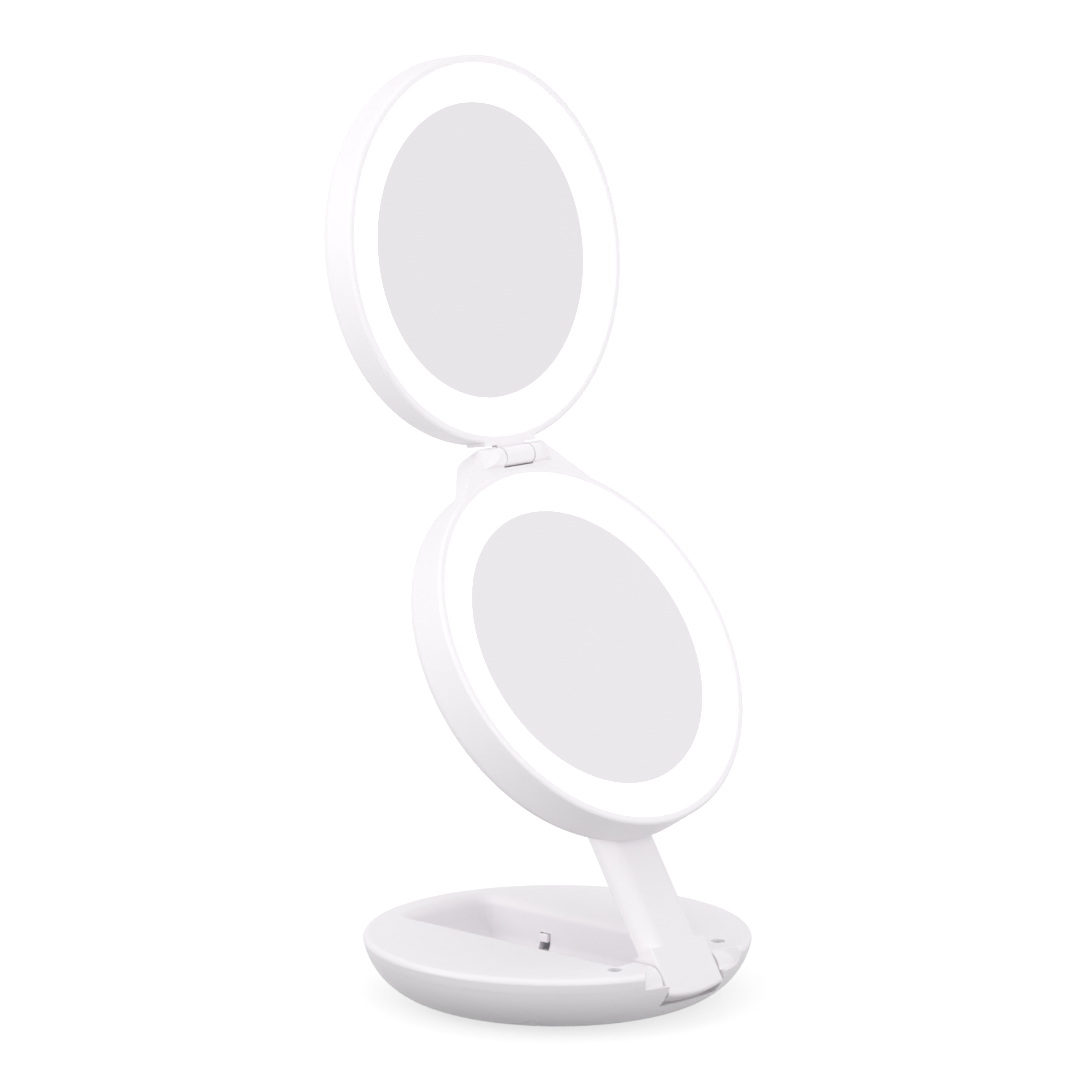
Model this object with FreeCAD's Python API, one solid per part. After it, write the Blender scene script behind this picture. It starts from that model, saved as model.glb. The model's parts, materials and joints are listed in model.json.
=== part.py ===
# Folding lighted travel mirror: two lit round mirrors, hinged edge to edge, on an arm over a bowl-shaped base.
# Sizes are millimetres and degrees.  +Z is up, the user looks along +Y, and every hinge turns about X.
# The origin lies on the table under the centre of the base.
import FreeCAD
import Part
import math
import os
from FreeCAD import Vector

# Fits that several pieces share
overrun = 1.0
pin_clearance = 0.05
screw_clearance = 0.05
seat_clearance = 0.1
slide_clearance = 0.3

# Pose: how far the arm and the upper mirror stand from lying flat, and how far the mirror slides on the arm
arm_raise_angle = 58.4
mirror_lean_angle = 23.2
slide_travel = 56.8

# Mirror discs, alike above and below
glass_radius = 50.0
glass_thickness = 2.3
glass_recess = 0.2
light_band_width = 13.0
lip_width = 2.8
lip_height = 3.0
lip_round = 1.2
lip_bevel = 0.4
diffuser_thickness = 2.5
back_wall = 2.2
spigot_wall = 1.4
spigot_height = 1.6
tray_wall = 1.2
tray_floor = 1.2
glass_seat_width = 3.0
diffuser_seat_width = 2.0
led_board_margin = 0.8
led_board_thickness = 1.2
led_count = 18
led_length = 3.5
led_width = 2.8
led_height = 0.8
disc_screw_radius = 1.1
disc_screw_head_radius = 2.2
disc_screw_head_height = 1.4
disc_screw_circle = 34.0
disc_screw_bearing = 41.0
disc_screw_grip = 3.2
disc_boss_wall = 1.4

# Depths of the two discs behind the lens plane
lower_straight = 10.8
lower_edge_round = 4.6
lower_parting = 9.0
upper_straight = 7.2
upper_edge_round = 4.0
upper_dome_height = 1.8
upper_parting = 5.6

# Hinge between the discs
closed_gap = 0.4
disc_hinge_gap = 4.2
disc_hinge_bias = 0.8
barrel_radius = 3.4
barrel_half_length = 6.6
barrel_pocket_gap = 0.6
barrel_tab_half = 12.4
disc_pin_radius = 1.5
disc_washer_thickness = 0.35
disc_washer_play = 0.15
disc_washer_radius = 3.0
disc_pin_grip = 4.0
ear_radius = 3.4
ear_drop = 3.6
ear_front_round = 3.3
ear_sink = 2.5
ear_flat = 3.5
ear_slope = 11.0
ear_width = 8.3
hood_rise = 3.9
hood_base_half = 31.0
hood_base_drop = 2.0
hood_front = 2.8
hood_base_depth = 1.9
hood_top_depth = 8.3
hood_back_round = 2.0

# Arm and its foot
arm_half_width = 12.4
arm_thickness = 8.5
arm_front_round = 6.0
arm_back_round = 1.2
arm_end_gap = 3.0
foot_half_width = 13.5
foot_top = 9.5
foot_end_inset = 2.8
foot_end_round = 1.2
foot_side_round = 0.8
foot_lip_low = 0.3
duct_half_width = 5.0
duct_low = 0.8
duct_height = 2.6
duct_start = 8.0
cable_half_width = 4.0
cable_thickness = 0.4
stop_bar_size = 3.0
stop_bar_height = 2.0
stop_bar_low = -2.0
stop_bar_inset = 6.5
stop_bar_proud = 2.0

# Guide for the arm on the lower disc's back
fold_gap = 0.3
spine_half_width = 16.5
spine_low = 43.6
spine_end_radius = 56.0
spine_end_taper = 8.5
spine_back_round = 2.4
spine_pocket_end = 45.5
spine_pocket_round = 3.0
spine_cover_thickness = 2.2
spine_cover_lap = 2.2
spine_screw_radius = 0.6
spine_screw_head_radius = 1.05
spine_screw_head_height = 0.8
spine_screw_length = 4.6
spine_screw_inset = 4.5
stop_slot_gap = 0.8
leaf_half_width = 4.6
leaf_length = 26.0
leaf_thickness = 0.35
leaf_rise = 1.0
leaf_recess = 1.3
leaf_end_gap = 0.6

# Base shells
deck_height = 22.0
rim_radius = 66.2
rim_round = 2.0
bottom_radius = 44.0
bowl_bulge = 5.0
base_wall = 2.0
cover_depth = 5.2
skirt_wall = 1.2
skirt_height = 1.8
parting_gap = 0.03

# Channel in the deck
channel_half = 23.7
channel_round = 3.5
channel_corner = 4.5
channel_front_inset = 18.2
channel_end_inset = 6.7
channel_end_corner = 5.0
channel_end_rise = 8.0
channel_floor_end_inset = 20.2
tub_wall = 1.6
tub_floor_gap = 1.1

# Arm hinge in the front rim
hinge_inset = 11.4
hinge_depth = 5.7
arm_pin_radius = 2.0
arm_pin_half_length = 20.0
cheek_half = 22.0
cheek_front_gap = 3.2
notch_gap = 0.7
notch_depth = 13.2
relief_back_half = 15.5
relief_front_half = 31.0
relief_reach = 12.2
relief_depth = 5.6
arm_washer_radius = 4.5
arm_washer_thickness = 0.5
hinge_screw_x = 26.0
hinge_screw_inset = 16.5
hinge_screw_radius = 1.2
hinge_screw_head_radius = 2.4
hinge_screw_head_height = 1.4
hinge_screw_sink = 1.0
hinge_screw_length = 8.0
hinge_boss_radius = 3.0
hinge_boss_rim_radius = 3.8

# Batteries and their lid
cell_radius = 5.25
cell_body_length = 43.5
cell_nub_radius = 1.9
cell_nub_length = 1.0
cell_gap = 0.5
cell_mid = 7.75
cell_lift = 1.6
contact_thickness = 0.4
contact_half_height = 3.2
contact_nub_radius = 1.6
contact_gap = 1.1
contact_play = 0.05
bay_wall = 1.6
bay_side_gap = 0.6
lid_half_width = 47.0
lid_gap = 0.4
lid_margin = 1.0
lid_swing_gap = 1.2
lid_height = 9.0
thumb_groove_half = 7.0
thumb_groove_width = 3.0
thumb_groove_depth = 0.7
thumb_groove_inset = 4.0

# Feet, screws, switch and circuit board of the base
rubber_foot_radius = 4.0
rubber_foot_proud = 0.8
rubber_foot_sink = 0.6
front_foot_x = 14.0
front_foot_y = 37.5
back_foot_x = 20.0
back_foot_y = 32.0
base_screw_radius = 1.3
base_screw_head_radius = 2.4
base_screw_head_height = 1.4
base_screw_seat = 4.2
base_screw_length = 12.0
base_boss_radius = 3.0
base_boss_joint = 12.0
front_screw_x = 32.0
front_screw_y = 39.5
back_screw_x = 31.0
back_screw_y = 33.0
switch_y = 24.3
switch_slot_half = 2.4
switch_slot_lift = 1.1
switch_slot_height = 6.4
switch_knob_half = 1.8
switch_knob_height = 2.8
switch_knob_proud = 1.2
switch_body_half = 3.8
switch_body_depth = 5.8
switch_body_wall = 0.9
slider_thickness = 2.4
slider_margin = 0.5
board_inner_gap = 2.6
board_length = 16.0
board_front = 19.5
board_width = 9.0
board_thickness = 1.2
board_drop = 4.0
board_peg_radius = 1.5
board_peg_inset = 3.5
chip_length = 5.0
chip_width = 4.0
chip_height = 1.2
capacitor_radius = 2.0
capacitor_height = 3.0
component_inset = 4.0

# Shares of a size, chosen by eye
arc_corner_share = 1 - math.sqrt(0.5)
dome_quarter_share = 0.25

# Sizes that follow from the ones above
hinge_setback = rim_radius - hinge_inset
hinge_screw_y = rim_radius - hinge_screw_inset
channel_front = rim_radius - channel_front_inset
channel_end = rim_radius - channel_end_inset
channel_floor_end = rim_radius - channel_floor_end_inset
lens_bore = glass_radius + light_band_width
disc_radius = lens_bore + lip_width
lower_depth = lower_straight + lower_edge_round
upper_edge_depth = upper_straight + upper_edge_round
upper_depth = upper_edge_depth + upper_dome_height
hinge_reach = disc_radius + disc_hinge_gap
lower_hinge_lift = lip_height + closed_gap / 2 - disc_hinge_bias
upper_hinge_lift = lip_height + closed_gap / 2 + disc_hinge_bias
ear_inner = barrel_half_length + disc_washer_thickness + disc_washer_play
ear_outer = ear_inner + ear_width
lens_offset = hinge_depth + fold_gap + lower_depth
arm_reach = hinge_setback + slide_travel
arm_back = hinge_depth - arm_thickness
arm_length = hinge_setback + spine_pocket_end - arm_end_gap
stop_bar_mid = arm_length - stop_bar_inset
guide_half = arm_half_width + slide_clearance
guide_floor = -lower_depth - fold_gap - arm_thickness - slide_clearance
spine_back = guide_floor - spine_cover_thickness
spine_cover_half = guide_half + spine_cover_lap
hinge_y = -hinge_setback
hinge_z = deck_height - hinge_depth
parting_z = deck_height - cover_depth
deck_under = deck_height - base_wall
bowl_floor = rubber_foot_proud + base_wall
channel_floor = bowl_floor + tub_floor_gap + tub_wall
switch_slot_low = channel_floor + switch_slot_lift
switch_slot_high = switch_slot_low + switch_slot_height
channel_wall = channel_half - channel_round
tub_half = channel_wall + tub_wall
notch_half = foot_half_width + notch_gap
notch_floor = deck_height - notch_depth
cheek_face = hinge_y - hinge_depth
cheek_block_front = cheek_face + cheek_front_gap
cell_z = bowl_floor + cell_lift + cell_radius
cell_length = cell_body_length + cell_nub_length
cell_xs = [tub_half + cell_gap + cell_radius, tub_half + 2 * cell_gap + 3 * cell_radius]
bay_front = -cell_mid - cell_length / 2 - contact_gap - contact_thickness
bay_back = -cell_mid + cell_length / 2 + contact_gap + contact_thickness
lid_front = bay_front - lid_margin
lid_back = bay_back + lid_margin
rim_low = deck_height - rim_round
bowl_chord = math.hypot(rim_radius - bottom_radius, rim_low - rubber_foot_proud)
bowl_arc_radius = bowl_chord ** 2 / (8 * bowl_bulge) + bowl_bulge / 2
bowl_arc_inset = (bowl_bulge - bowl_arc_radius) / bowl_chord
bowl_arc_r = (rim_radius + bottom_radius) / 2 + bowl_arc_inset * (rim_low - rubber_foot_proud)
bowl_arc_z = (rim_low + rubber_foot_proud) / 2 - bowl_arc_inset * (rim_radius - bottom_radius)

ORIGIN = Vector(0, 0, 0)
X_AXIS = Vector(1, 0, 0)
Y_AXIS = Vector(0, 1, 0)
Z_AXIS = Vector(0, 0, 1)
SIDES = (-1, 1)

# A point of a drawn outline (a, b) lies in one of these planes, at the level c along the plane's normal
PLANES = {
    "xy": lambda a, b, c: Vector(a, b, c),
    "yz": lambda a, b, c: Vector(c, a, b),
    "xz": lambda a, b, c: Vector(a, c, b),
}


# Plain shapes

def box(x, y, z):
    """Block between pairs of limits."""
    return Part.makeBox(x[1] - x[0], y[1] - y[0], z[1] - z[0], Vector(x[0], y[0], z[0]))


def rod(radius, z, at=(0, 0)):
    """Upright cylinder between two heights."""
    return Part.makeCylinder(radius, z[1] - z[0], Vector(at[0], at[1], z[0]), Z_AXIS)


def cross_rod(radius, x, y, z):
    """Cylinder along X."""
    return Part.makeCylinder(radius, x[1] - x[0], Vector(x[0], y, z), X_AXIS)


def long_rod(radius, x, y, z):
    """Cylinder along Y."""
    return Part.makeCylinder(radius, y[1] - y[0], Vector(x, y[0], z), Y_AXIS)


def ring(inner, outer, z):
    """Upright tube between two heights."""
    return rod(outer, z).cut(rod(inner, (z[0] - overrun, z[1] + overrun)))


def outline_face(outline, plane, level):
    """Face bounded by steps that are a point, or a (via, end) pair of points for an arc."""
    lift = PLANES[plane]
    start = lift(outline[0][0], outline[0][1], level)
    here = start
    edges = []
    for step in outline[1:] + [outline[0]]:
        if isinstance(step[0], tuple):
            via = lift(step[0][0], step[0][1], level)
            end = lift(step[1][0], step[1][1], level)
            edges.append(Part.Arc(here, via, end).toShape())
        else:
            end = lift(step[0], step[1], level)
            if (end - here).Length < seat_clearance / 1000:
                continue
            edges.append(Part.LineSegment(here, end).toShape())
        here = end
    return Part.Face(Part.Wire(edges))


def prism(outline, plane, span):
    """Outline pushed along its plane's normal from one level to another."""
    push = PLANES[plane](0, 0, span[1] - span[0])
    return outline_face(outline, plane, span[0]).extrude(push)


def turned(outline):
    """Outline of (radius, height) points turned about Z."""
    return outline_face(outline, "xz", 0).revolve(ORIGIN, Z_AXIS, 360)


def rounded(a, b, radii):
    """Rectangle with its own radius at each corner, in turn from (low a, low b) to (low a, high b)."""
    steps = []
    corners = [(a[0], b[0], 1, 1), (a[1], b[0], -1, 1), (a[1], b[1], -1, -1), (a[0], b[1], 1, -1)]
    for i, (ca, cb, da, db) in enumerate(corners):
        radius = radii[i]
        along_a = (ca + da * radius, cb)
        along_b = (ca, cb + db * radius)
        via = (ca + da * radius * arc_corner_share, cb + db * radius * arc_corner_share)
        first, last = (along_b, along_a) if i in (0, 2) else (along_a, along_b)
        steps.append(first)
        if radius > 0:
            steps.append((via, last))
    return steps


def fused(shapes):
    """Shapes joined into one solid, with coplanar faces merged."""
    return shapes[0].multiFuse(shapes[1:]).removeSplitter()


def both_sides(shape):
    """The shape and its mirror image across the middle plane."""
    return [shape, shape.mirror(ORIGIN, X_AXIS)]


def moved(shape, x=0, y=0, z=0):
    """Copy of the shape at another place."""
    copy = shape.copy()
    copy.translate(Vector(x, y, z))
    return copy


# Places of the moving groups.  The arm is drawn lying flat with its hinge at the origin; a disc is drawn
# lying face up with its lens plane at zero and its centre at the origin.

def on_arm(shape):
    copy = shape.copy()
    copy.rotate(ORIGIN, X_AXIS, arm_raise_angle)
    copy.translate(Vector(0, hinge_y, hinge_z))
    return copy


def on_lower(shape):
    return on_arm(moved(shape, y=arm_reach, z=lens_offset))


def on_upper(shape):
    copy = moved(shape, y=hinge_reach, z=-upper_hinge_lift)
    copy.rotate(ORIGIN, X_AXIS, mirror_lean_angle)
    return on_lower(moved(copy, y=hinge_reach, z=lower_hinge_lift))


# Mirror discs

def front_ring(parting):
    """Side wall with the raised lip round the lens."""
    lip_shoulder = disc_radius - lip_round
    via = (disc_radius - lip_round * arc_corner_share, lip_height - lip_round * arc_corner_share)
    return turned([
        (lens_bore, -parting),
        (disc_radius, -parting),
        (disc_radius, lip_height - lip_round),
        (via, (lip_shoulder, lip_height)),
        (lens_bore + lip_bevel, lip_height),
        (lens_bore, lip_height - lip_bevel),
    ])


def back_shell(parting, straight, edge_round, dome):
    """Back of a disc: rounded edge, flat or domed back, and a spigot that centres the front ring."""
    edge_depth = straight + edge_round
    flat_radius = disc_radius - edge_round
    edge_via = (disc_radius - edge_round * arc_corner_share, -edge_depth + edge_round * arc_corner_share)
    outer = [(flat_radius, -edge_depth), (edge_via, (disc_radius, -straight)), (disc_radius, -parting),
             (0, -parting)]
    inner_floor = back_wall - edge_depth
    solid = turned([(0, -edge_depth)] + outer)
    hollow = rod(lens_bore, (inner_floor, overrun))
    if dome > 0:
        half = flat_radius / 2
        sunk = dome * dome_quarter_share
        cap = turned([(0, -edge_depth - dome), ((half, -edge_depth - dome + sunk), (flat_radius, -edge_depth)),
                      (0, -edge_depth)])
        bowl = turned([(0, inner_floor - dome), ((half, inner_floor - dome + sunk), (flat_radius, inner_floor)),
                       (0, inner_floor)])
        solid = solid.fuse(cap)
        hollow = hollow.fuse(bowl)
    spigot = ring(lens_bore - seat_clearance - spigot_wall, lens_bore - seat_clearance,
                  (inner_floor, spigot_height - parting))
    lap = ring(lens_bore - seat_clearance - spigot_wall, lens_bore + seat_clearance, (inner_floor, -parting))
    return fused([solid.cut(hollow), spigot, lap])


def disc_screw_places():
    """Centres of the screws that hold a disc's back to its light tray."""
    bearing = math.radians(disc_screw_bearing)
    across = disc_screw_circle * math.cos(bearing)
    along = disc_screw_circle * math.sin(bearing)
    return [(sx * across, sy * along) for sx in SIDES for sy in SIDES]


def disc_screw_span(depth, inner_floor):
    """Heights of a disc screw's bearing face, and of its tip in the tray's boss."""
    seat = -depth + disc_screw_head_height
    return seat, inner_floor + tray_floor + disc_screw_grip


def disc_screws(depth, inner_floor):
    seat, tip = disc_screw_span(depth, inner_floor)
    screws = []
    for at in disc_screw_places():
        head = rod(disc_screw_head_radius, (seat - disc_screw_head_height, seat), at)
        shank = rod(disc_screw_radius, (seat, tip), at)
        screws.append(head.fuse(shank))
    return Part.makeCompound(screws)


def with_screw_seats(shell, depth, inner_floor, dome):
    """Disc back with a boss, a hole and a sunk head seat for each screw."""
    seat, tip = disc_screw_span(depth, inner_floor)
    boss_radius = disc_screw_head_radius + disc_boss_wall
    seat_low = -depth - dome - overrun
    body = shell.multiFuse([rod(boss_radius, (-depth, inner_floor), at) for at in disc_screw_places()])
    for at in disc_screw_places():
        body = body.cut(rod(disc_screw_head_radius + screw_clearance, (seat_low, seat), at))
        body = body.cut(rod(disc_screw_radius + screw_clearance, (seat_low, tip), at))
    return body.removeSplitter()


def light_tray(inner_floor):
    """Tray that carries the LED board and holds the glass and the diffuser at their seats."""
    glass_seat = -glass_recess - glass_thickness
    band_inner = glass_radius + seat_clearance
    outer = lens_bore - 2 * seat_clearance - spigot_wall - seat_clearance
    floor_top = inner_floor + tray_floor
    boss_radius = disc_screw_radius + disc_boss_wall
    parts = [
        rod(outer, (inner_floor, floor_top)),
        ring(glass_radius - glass_seat_width, band_inner, (inner_floor, glass_seat)),
        ring(band_inner, band_inner + diffuser_seat_width, (inner_floor, -diffuser_thickness)),
        ring(outer - tray_wall, outer, (inner_floor, -diffuser_thickness)),
    ]
    tip = floor_top + disc_screw_grip
    parts += [rod(boss_radius, (inner_floor, tip), at) for at in disc_screw_places()]
    tray = fused(parts)
    for at in disc_screw_places():
        tray = tray.cut(rod(disc_screw_radius + screw_clearance, (inner_floor - overrun, tip + overrun), at))
    return tray


def led_band(inner_floor):
    """Inner and outer radius of the LED board, and the height of its underside."""
    inner = glass_radius + seat_clearance + diffuser_seat_width + led_board_margin
    outer = lens_bore - 3 * seat_clearance - spigot_wall - tray_wall - led_board_margin
    return inner, outer, inner_floor + tray_floor


def led_board(inner_floor):
    inner, outer, low = led_band(inner_floor)
    return ring(inner, outer, (low, low + led_board_thickness))


def leds(inner_floor):
    inner, outer, low = led_band(inner_floor)
    middle = (inner + outer) / 2
    top = low + led_board_thickness
    chip = box((middle - led_width / 2, middle + led_width / 2), (-led_length / 2, led_length / 2),
               (top, top + led_height))
    copies = []
    for i in range(led_count):
        copy = chip.copy()
        copy.rotate(ORIGIN, Z_AXIS, 360 * i / led_count)
        copies.append(copy)
    return Part.makeCompound(copies)


def diffuser():
    return ring(glass_radius + seat_clearance, lens_bore - seat_clearance, (-diffuser_thickness, 0))


def mirror_glass():
    return rod(glass_radius, (-glass_recess - glass_thickness, -glass_recess))


# Hinge between the discs

def hinge_hood():
    """Hood at the lower disc's top edge, with an ear on each side of the upper disc's barrel."""
    top = hinge_reach + hood_rise
    base_y = math.sqrt(disc_radius ** 2 - hood_base_half ** 2)
    low_y = base_y - hood_base_drop
    plan = [
        (-hood_base_half, low_y),
        (hood_base_half, low_y),
        (hood_base_half, base_y),
        (ear_outer, top),
        (-ear_outer, top),
        (-hood_base_half, base_y),
    ]
    corner = hood_back_round * arc_corner_share
    side = [
        (low_y, hood_front),
        (low_y, -hood_base_depth),
        (top - hood_back_round, -hood_top_depth),
        ((top - corner, -hood_top_depth + corner), (top, hood_back_round - hood_top_depth)),
        (top, hood_front),
    ]
    body = prism(plan, "xy", (-lower_depth, hood_front))
    body = body.common(prism(side, "yz", (-hood_base_half, hood_base_half)))
    shapes = [body]
    shapes += both_sides(hinge_ear(plan))
    hood = fused(shapes)
    pocket_radius = barrel_radius + barrel_pocket_gap
    width = (-ear_inner, ear_inner)
    front_z = (lower_hinge_lift, lower_hinge_lift + top)
    pin_reach = disc_pin_half() + pin_clearance
    tools = [
        cross_rod(pocket_radius, width, hinge_reach, lower_hinge_lift),
        box(width, (hinge_reach - pocket_radius, top + overrun), front_z),
        box(width, (hinge_reach, top + overrun), (lower_hinge_lift - pocket_radius, lower_hinge_lift)),
        cross_rod(disc_pin_radius + pin_clearance, (-pin_reach, pin_reach), hinge_reach, lower_hinge_lift),
        rod(lens_bore, (back_wall - lower_depth, lower_hinge_lift + top)),
    ]
    for tool in tools:
        hood = hood.cut(tool)
    return hood


def hinge_ear(plan):
    """Ear at one side of the barrel: flush in front, rounded over the top, sloping off along the hood."""
    root = hood_front - ear_sink
    front = lower_hinge_lift + ear_radius
    low = hinge_reach - ear_drop
    bend = ear_front_round * arc_corner_share
    high = ear_radius * math.sqrt(0.5)
    side = [
        (low, root),
        (low, front - ear_front_round),
        ((low + bend, front - bend), (low + ear_front_round, front)),
        (hinge_reach, front),
        ((hinge_reach + high, lower_hinge_lift + high), (hinge_reach + ear_radius, lower_hinge_lift)),
        (hinge_reach + ear_radius, root),
    ]
    above_plan = [
        (ear_inner, root),
        (ear_inner, front),
        (ear_inner + ear_flat, front),
        (ear_inner + ear_flat + ear_slope, root),
    ]
    block = prism(side, "yz", (ear_inner, ear_inner + ear_flat + ear_slope))
    block = block.common(prism(above_plan, "xz", (low, hinge_reach + ear_radius)))
    return block.common(prism(plan, "xy", (root, front)))


def disc_pin_half():
    """Half the length of the pin between the discs, which ends inside the ears."""
    return ear_inner + disc_pin_grip


def hinge_barrel():
    """Barrel and neck at the upper disc's bottom edge, which is straight across the hinge."""
    span = (-barrel_half_length, barrel_half_length)
    lift = upper_hinge_lift
    barrel = cross_rod(barrel_radius, span, -hinge_reach, lift)
    neck = box(span, (-hinge_reach, -lens_bore), (lift - barrel_radius, lip_height))
    tab = box((-barrel_tab_half, barrel_tab_half), (-disc_radius, -lens_bore), (-upper_parting, lip_height))
    bore_span = (span[0] - overrun, span[1] + overrun)
    bore = cross_rod(disc_pin_radius + pin_clearance, bore_span, -hinge_reach, lift)
    lens_room = rod(lens_bore, (-upper_parting - overrun, lift + overrun))
    return fused([barrel, neck, tab]).cut(bore).cut(lens_room)


def disc_hinge_pin():
    return cross_rod(disc_pin_radius, (-disc_pin_half(), disc_pin_half()), hinge_reach, lower_hinge_lift)


def disc_hinge_washers():
    span = (ear_inner - disc_washer_thickness, ear_inner)
    lift = lower_hinge_lift
    disc = cross_rod(disc_washer_radius, span, hinge_reach, lift)
    hole = cross_rod(disc_pin_radius + pin_clearance, (span[0] - overrun, span[1] + overrun), hinge_reach, lift)
    return Part.makeCompound(both_sides(disc.cut(hole)))


# Guide for the arm

def spine_screw_places():
    """Centres of the spine cover's screws, in the walls beside the guide."""
    across = guide_half + spine_cover_lap / 2
    return [(side * across, y) for side in SIDES
            for y in (-spine_low + spine_screw_inset, spine_pocket_end - spine_screw_inset)]


def spine():
    """Block on the lower disc's back that the arm slides in, open at its lower end and at its back."""
    section = rounded((-spine_half_width, spine_half_width), (spine_back, -lower_depth + seat_clearance),
                      (spine_back_round, spine_back_round, 0, 0))
    block = prism(section, "xz", (-spine_low, spine_end_radius))
    end = turned([
        (0, spine_back),
        (spine_end_radius - spine_end_taper, spine_back),
        (spine_end_radius, -lower_depth),
        (spine_end_radius, -lower_depth + seat_clearance),
        (0, -lower_depth + seat_clearance),
    ])
    guide_plan = rounded((-guide_half, guide_half), (-spine_low - overrun, spine_pocket_end),
                         (0, 0, spine_pocket_round, spine_pocket_round))
    guide = prism(guide_plan, "xy", (spine_back - overrun, -lower_depth))
    cover_seat = spine_cover_plan(0, spine_back - overrun, guide_floor)
    return block.common(end).cut(guide).cut(cover_seat).cut(stop_slots())


def spine_cover_plan(clearance, low, high):
    """Plate outline of the spine cover between two heights, drawn in by a clearance."""
    half = spine_cover_half - clearance
    low_end = -spine_low - (overrun if clearance == 0 else 0)
    plan = rounded((-half, half), (low_end, spine_pocket_end - clearance),
                   (0, 0, spine_pocket_round, spine_pocket_round))
    return prism(plan, "xy", (low, high))


def stop_slots():
    """Slots in the guide's side walls that the stop bar's ends run in."""
    reach = arm_half_width + stop_bar_proud + slide_clearance
    first = stop_bar_mid - arm_reach - stop_bar_size / 2 - slide_clearance
    last = stop_bar_mid - hinge_setback + stop_bar_size / 2 + stop_slot_gap
    low = stop_bar_low - slide_clearance - lens_offset
    high = stop_bar_low + stop_bar_height + slide_clearance - lens_offset
    return box((-reach, reach), (first, last), (low, high))


def spine_cover():
    """Plate that closes the guide, with a recess for the leaf spring and countersunk screw holes."""
    plate = spine_cover_plan(seat_clearance, spine_back, guide_floor)
    recess = box((-leaf_half_width - seat_clearance, leaf_half_width + seat_clearance),
                 (leaf_low() - leaf_end_gap, leaf_low() + leaf_length + leaf_end_gap),
                 (guide_floor - leaf_recess, guide_floor + overrun))
    plate = plate.cut(recess)
    for at in spine_screw_places():
        plate = plate.cut(rod(spine_screw_radius + screw_clearance,
                              (spine_back - overrun, guide_floor + overrun), at))
        plate = plate.cut(rod(spine_screw_head_radius + screw_clearance,
                              (spine_back - overrun, spine_back + spine_screw_head_height), at))
    return plate


def spine_screws():
    screws = []
    for at in spine_screw_places():
        head = rod(spine_screw_head_radius, (spine_back, spine_back + spine_screw_head_height), at)
        shank = rod(spine_screw_radius, (spine_back, spine_back + spine_screw_length), at)
        screws.append(head.fuse(shank))
    return Part.makeCompound(screws)


def spine_screw_holes(shape):
    for at in spine_screw_places():
        shape = shape.cut(rod(spine_screw_radius + screw_clearance,
                              (spine_back - overrun, spine_back + spine_screw_length + screw_clearance), at))
    return shape


def leaf_low():
    """Lower end of the leaf spring, beside the guide's mouth."""
    return -spine_low + spine_screw_inset


def leaf_spring():
    """Bowed strip that presses on the arm's back."""
    low = guide_floor - leaf_recess
    start = leaf_low()
    middle = start + leaf_length / 2
    end = start + leaf_length
    strip = [
        (start, low),
        (start, low + leaf_thickness),
        ((middle, low + leaf_thickness + leaf_rise), (end, low + leaf_thickness)),
        (end, low),
        ((middle, low + leaf_rise), (start, low)),
    ]
    return prism(strip, "yz", (-leaf_half_width, leaf_half_width))


# Arm

def arm():
    """Bar with rounded front edges, a foot that fills the base's notch, a cable duct and its stop's slot."""
    section = rounded((-arm_half_width, arm_half_width), (arm_back, hinge_depth),
                      (arm_back_round, arm_back_round, arm_front_round, arm_front_round))
    bar = prism(section, "xz", (0, arm_length))
    width = (-foot_half_width, foot_half_width)
    reach = hinge_setback - rim_radius
    blocks = [
        cross_rod(hinge_depth, width, 0, 0),
        box(width, (reach, foot_top), (foot_lip_low, hinge_depth)),
        box(width, (0, foot_top), (arm_back, hinge_depth)),
    ]
    foot = fused(blocks)
    sides = prism(rounded(width, (-hinge_depth, hinge_depth), (0, 0, foot_side_round, foot_side_round)), "xz",
                  (reach, foot_top))
    end_radius = rim_radius - foot_end_inset
    corner = foot_end_round * arc_corner_share
    end = turned([
        (0, -hinge_depth),
        (end_radius, -hinge_depth),
        (end_radius, hinge_depth - foot_end_round),
        ((end_radius - corner, hinge_depth - corner), (end_radius - foot_end_round, hinge_depth)),
        (0, hinge_depth),
    ])
    whole = fused([bar, foot.common(sides).common(moved(end, y=hinge_setback))])
    bore = cross_rod(arm_pin_radius + pin_clearance, (width[0] - overrun, width[1] + overrun), 0, 0)
    duct = box((-duct_half_width, duct_half_width), (duct_start, arm_length + overrun),
               (duct_low, duct_low + duct_height))
    slot = stop_bar_block(screw_clearance)
    return whole.cut(bore).cut(duct).cut(slot)


def stop_bar_block(clearance):
    reach = arm_half_width + stop_bar_proud
    half = stop_bar_size / 2 + clearance
    return box((-reach, reach), (stop_bar_mid - half, stop_bar_mid + half),
               (stop_bar_low - clearance, stop_bar_low + stop_bar_height + clearance))


def ribbon_cable():
    return box((-cable_half_width, cable_half_width), (duct_start, arm_length),
               (duct_low, duct_low + cable_thickness))


# Base shells

def bowl_radius(z, inset):
    """Radius of the bowl's side at a height, drawn in by an inset."""
    return bowl_arc_r + math.sqrt((bowl_arc_radius - inset) ** 2 - (z - bowl_arc_z) ** 2)


def base_outside():
    """The whole base as one solid."""
    middle = (rim_low + rubber_foot_proud) / 2
    corner = rim_round * arc_corner_share
    return turned([
        (0, rubber_foot_proud),
        (bottom_radius, rubber_foot_proud),
        ((bowl_radius(middle, 0), middle), (rim_radius, rim_low)),
        ((rim_radius - corner, deck_height - corner), (rim_radius - rim_round, deck_height)),
        (0, deck_height),
    ])


def base_inside(inset):
    """The base's hollow, drawn in from the outside by an inset."""
    low = rubber_foot_proud + inset
    middle = (low + deck_under) / 2
    return turned([
        (0, low),
        (bowl_radius(low, inset), low),
        ((bowl_radius(middle, inset), middle), (bowl_radius(deck_under, inset), deck_under)),
        (0, deck_under),
    ])


def below(z):
    return box((-rim_radius, rim_radius), (-rim_radius, rim_radius), (-overrun, z))


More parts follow.
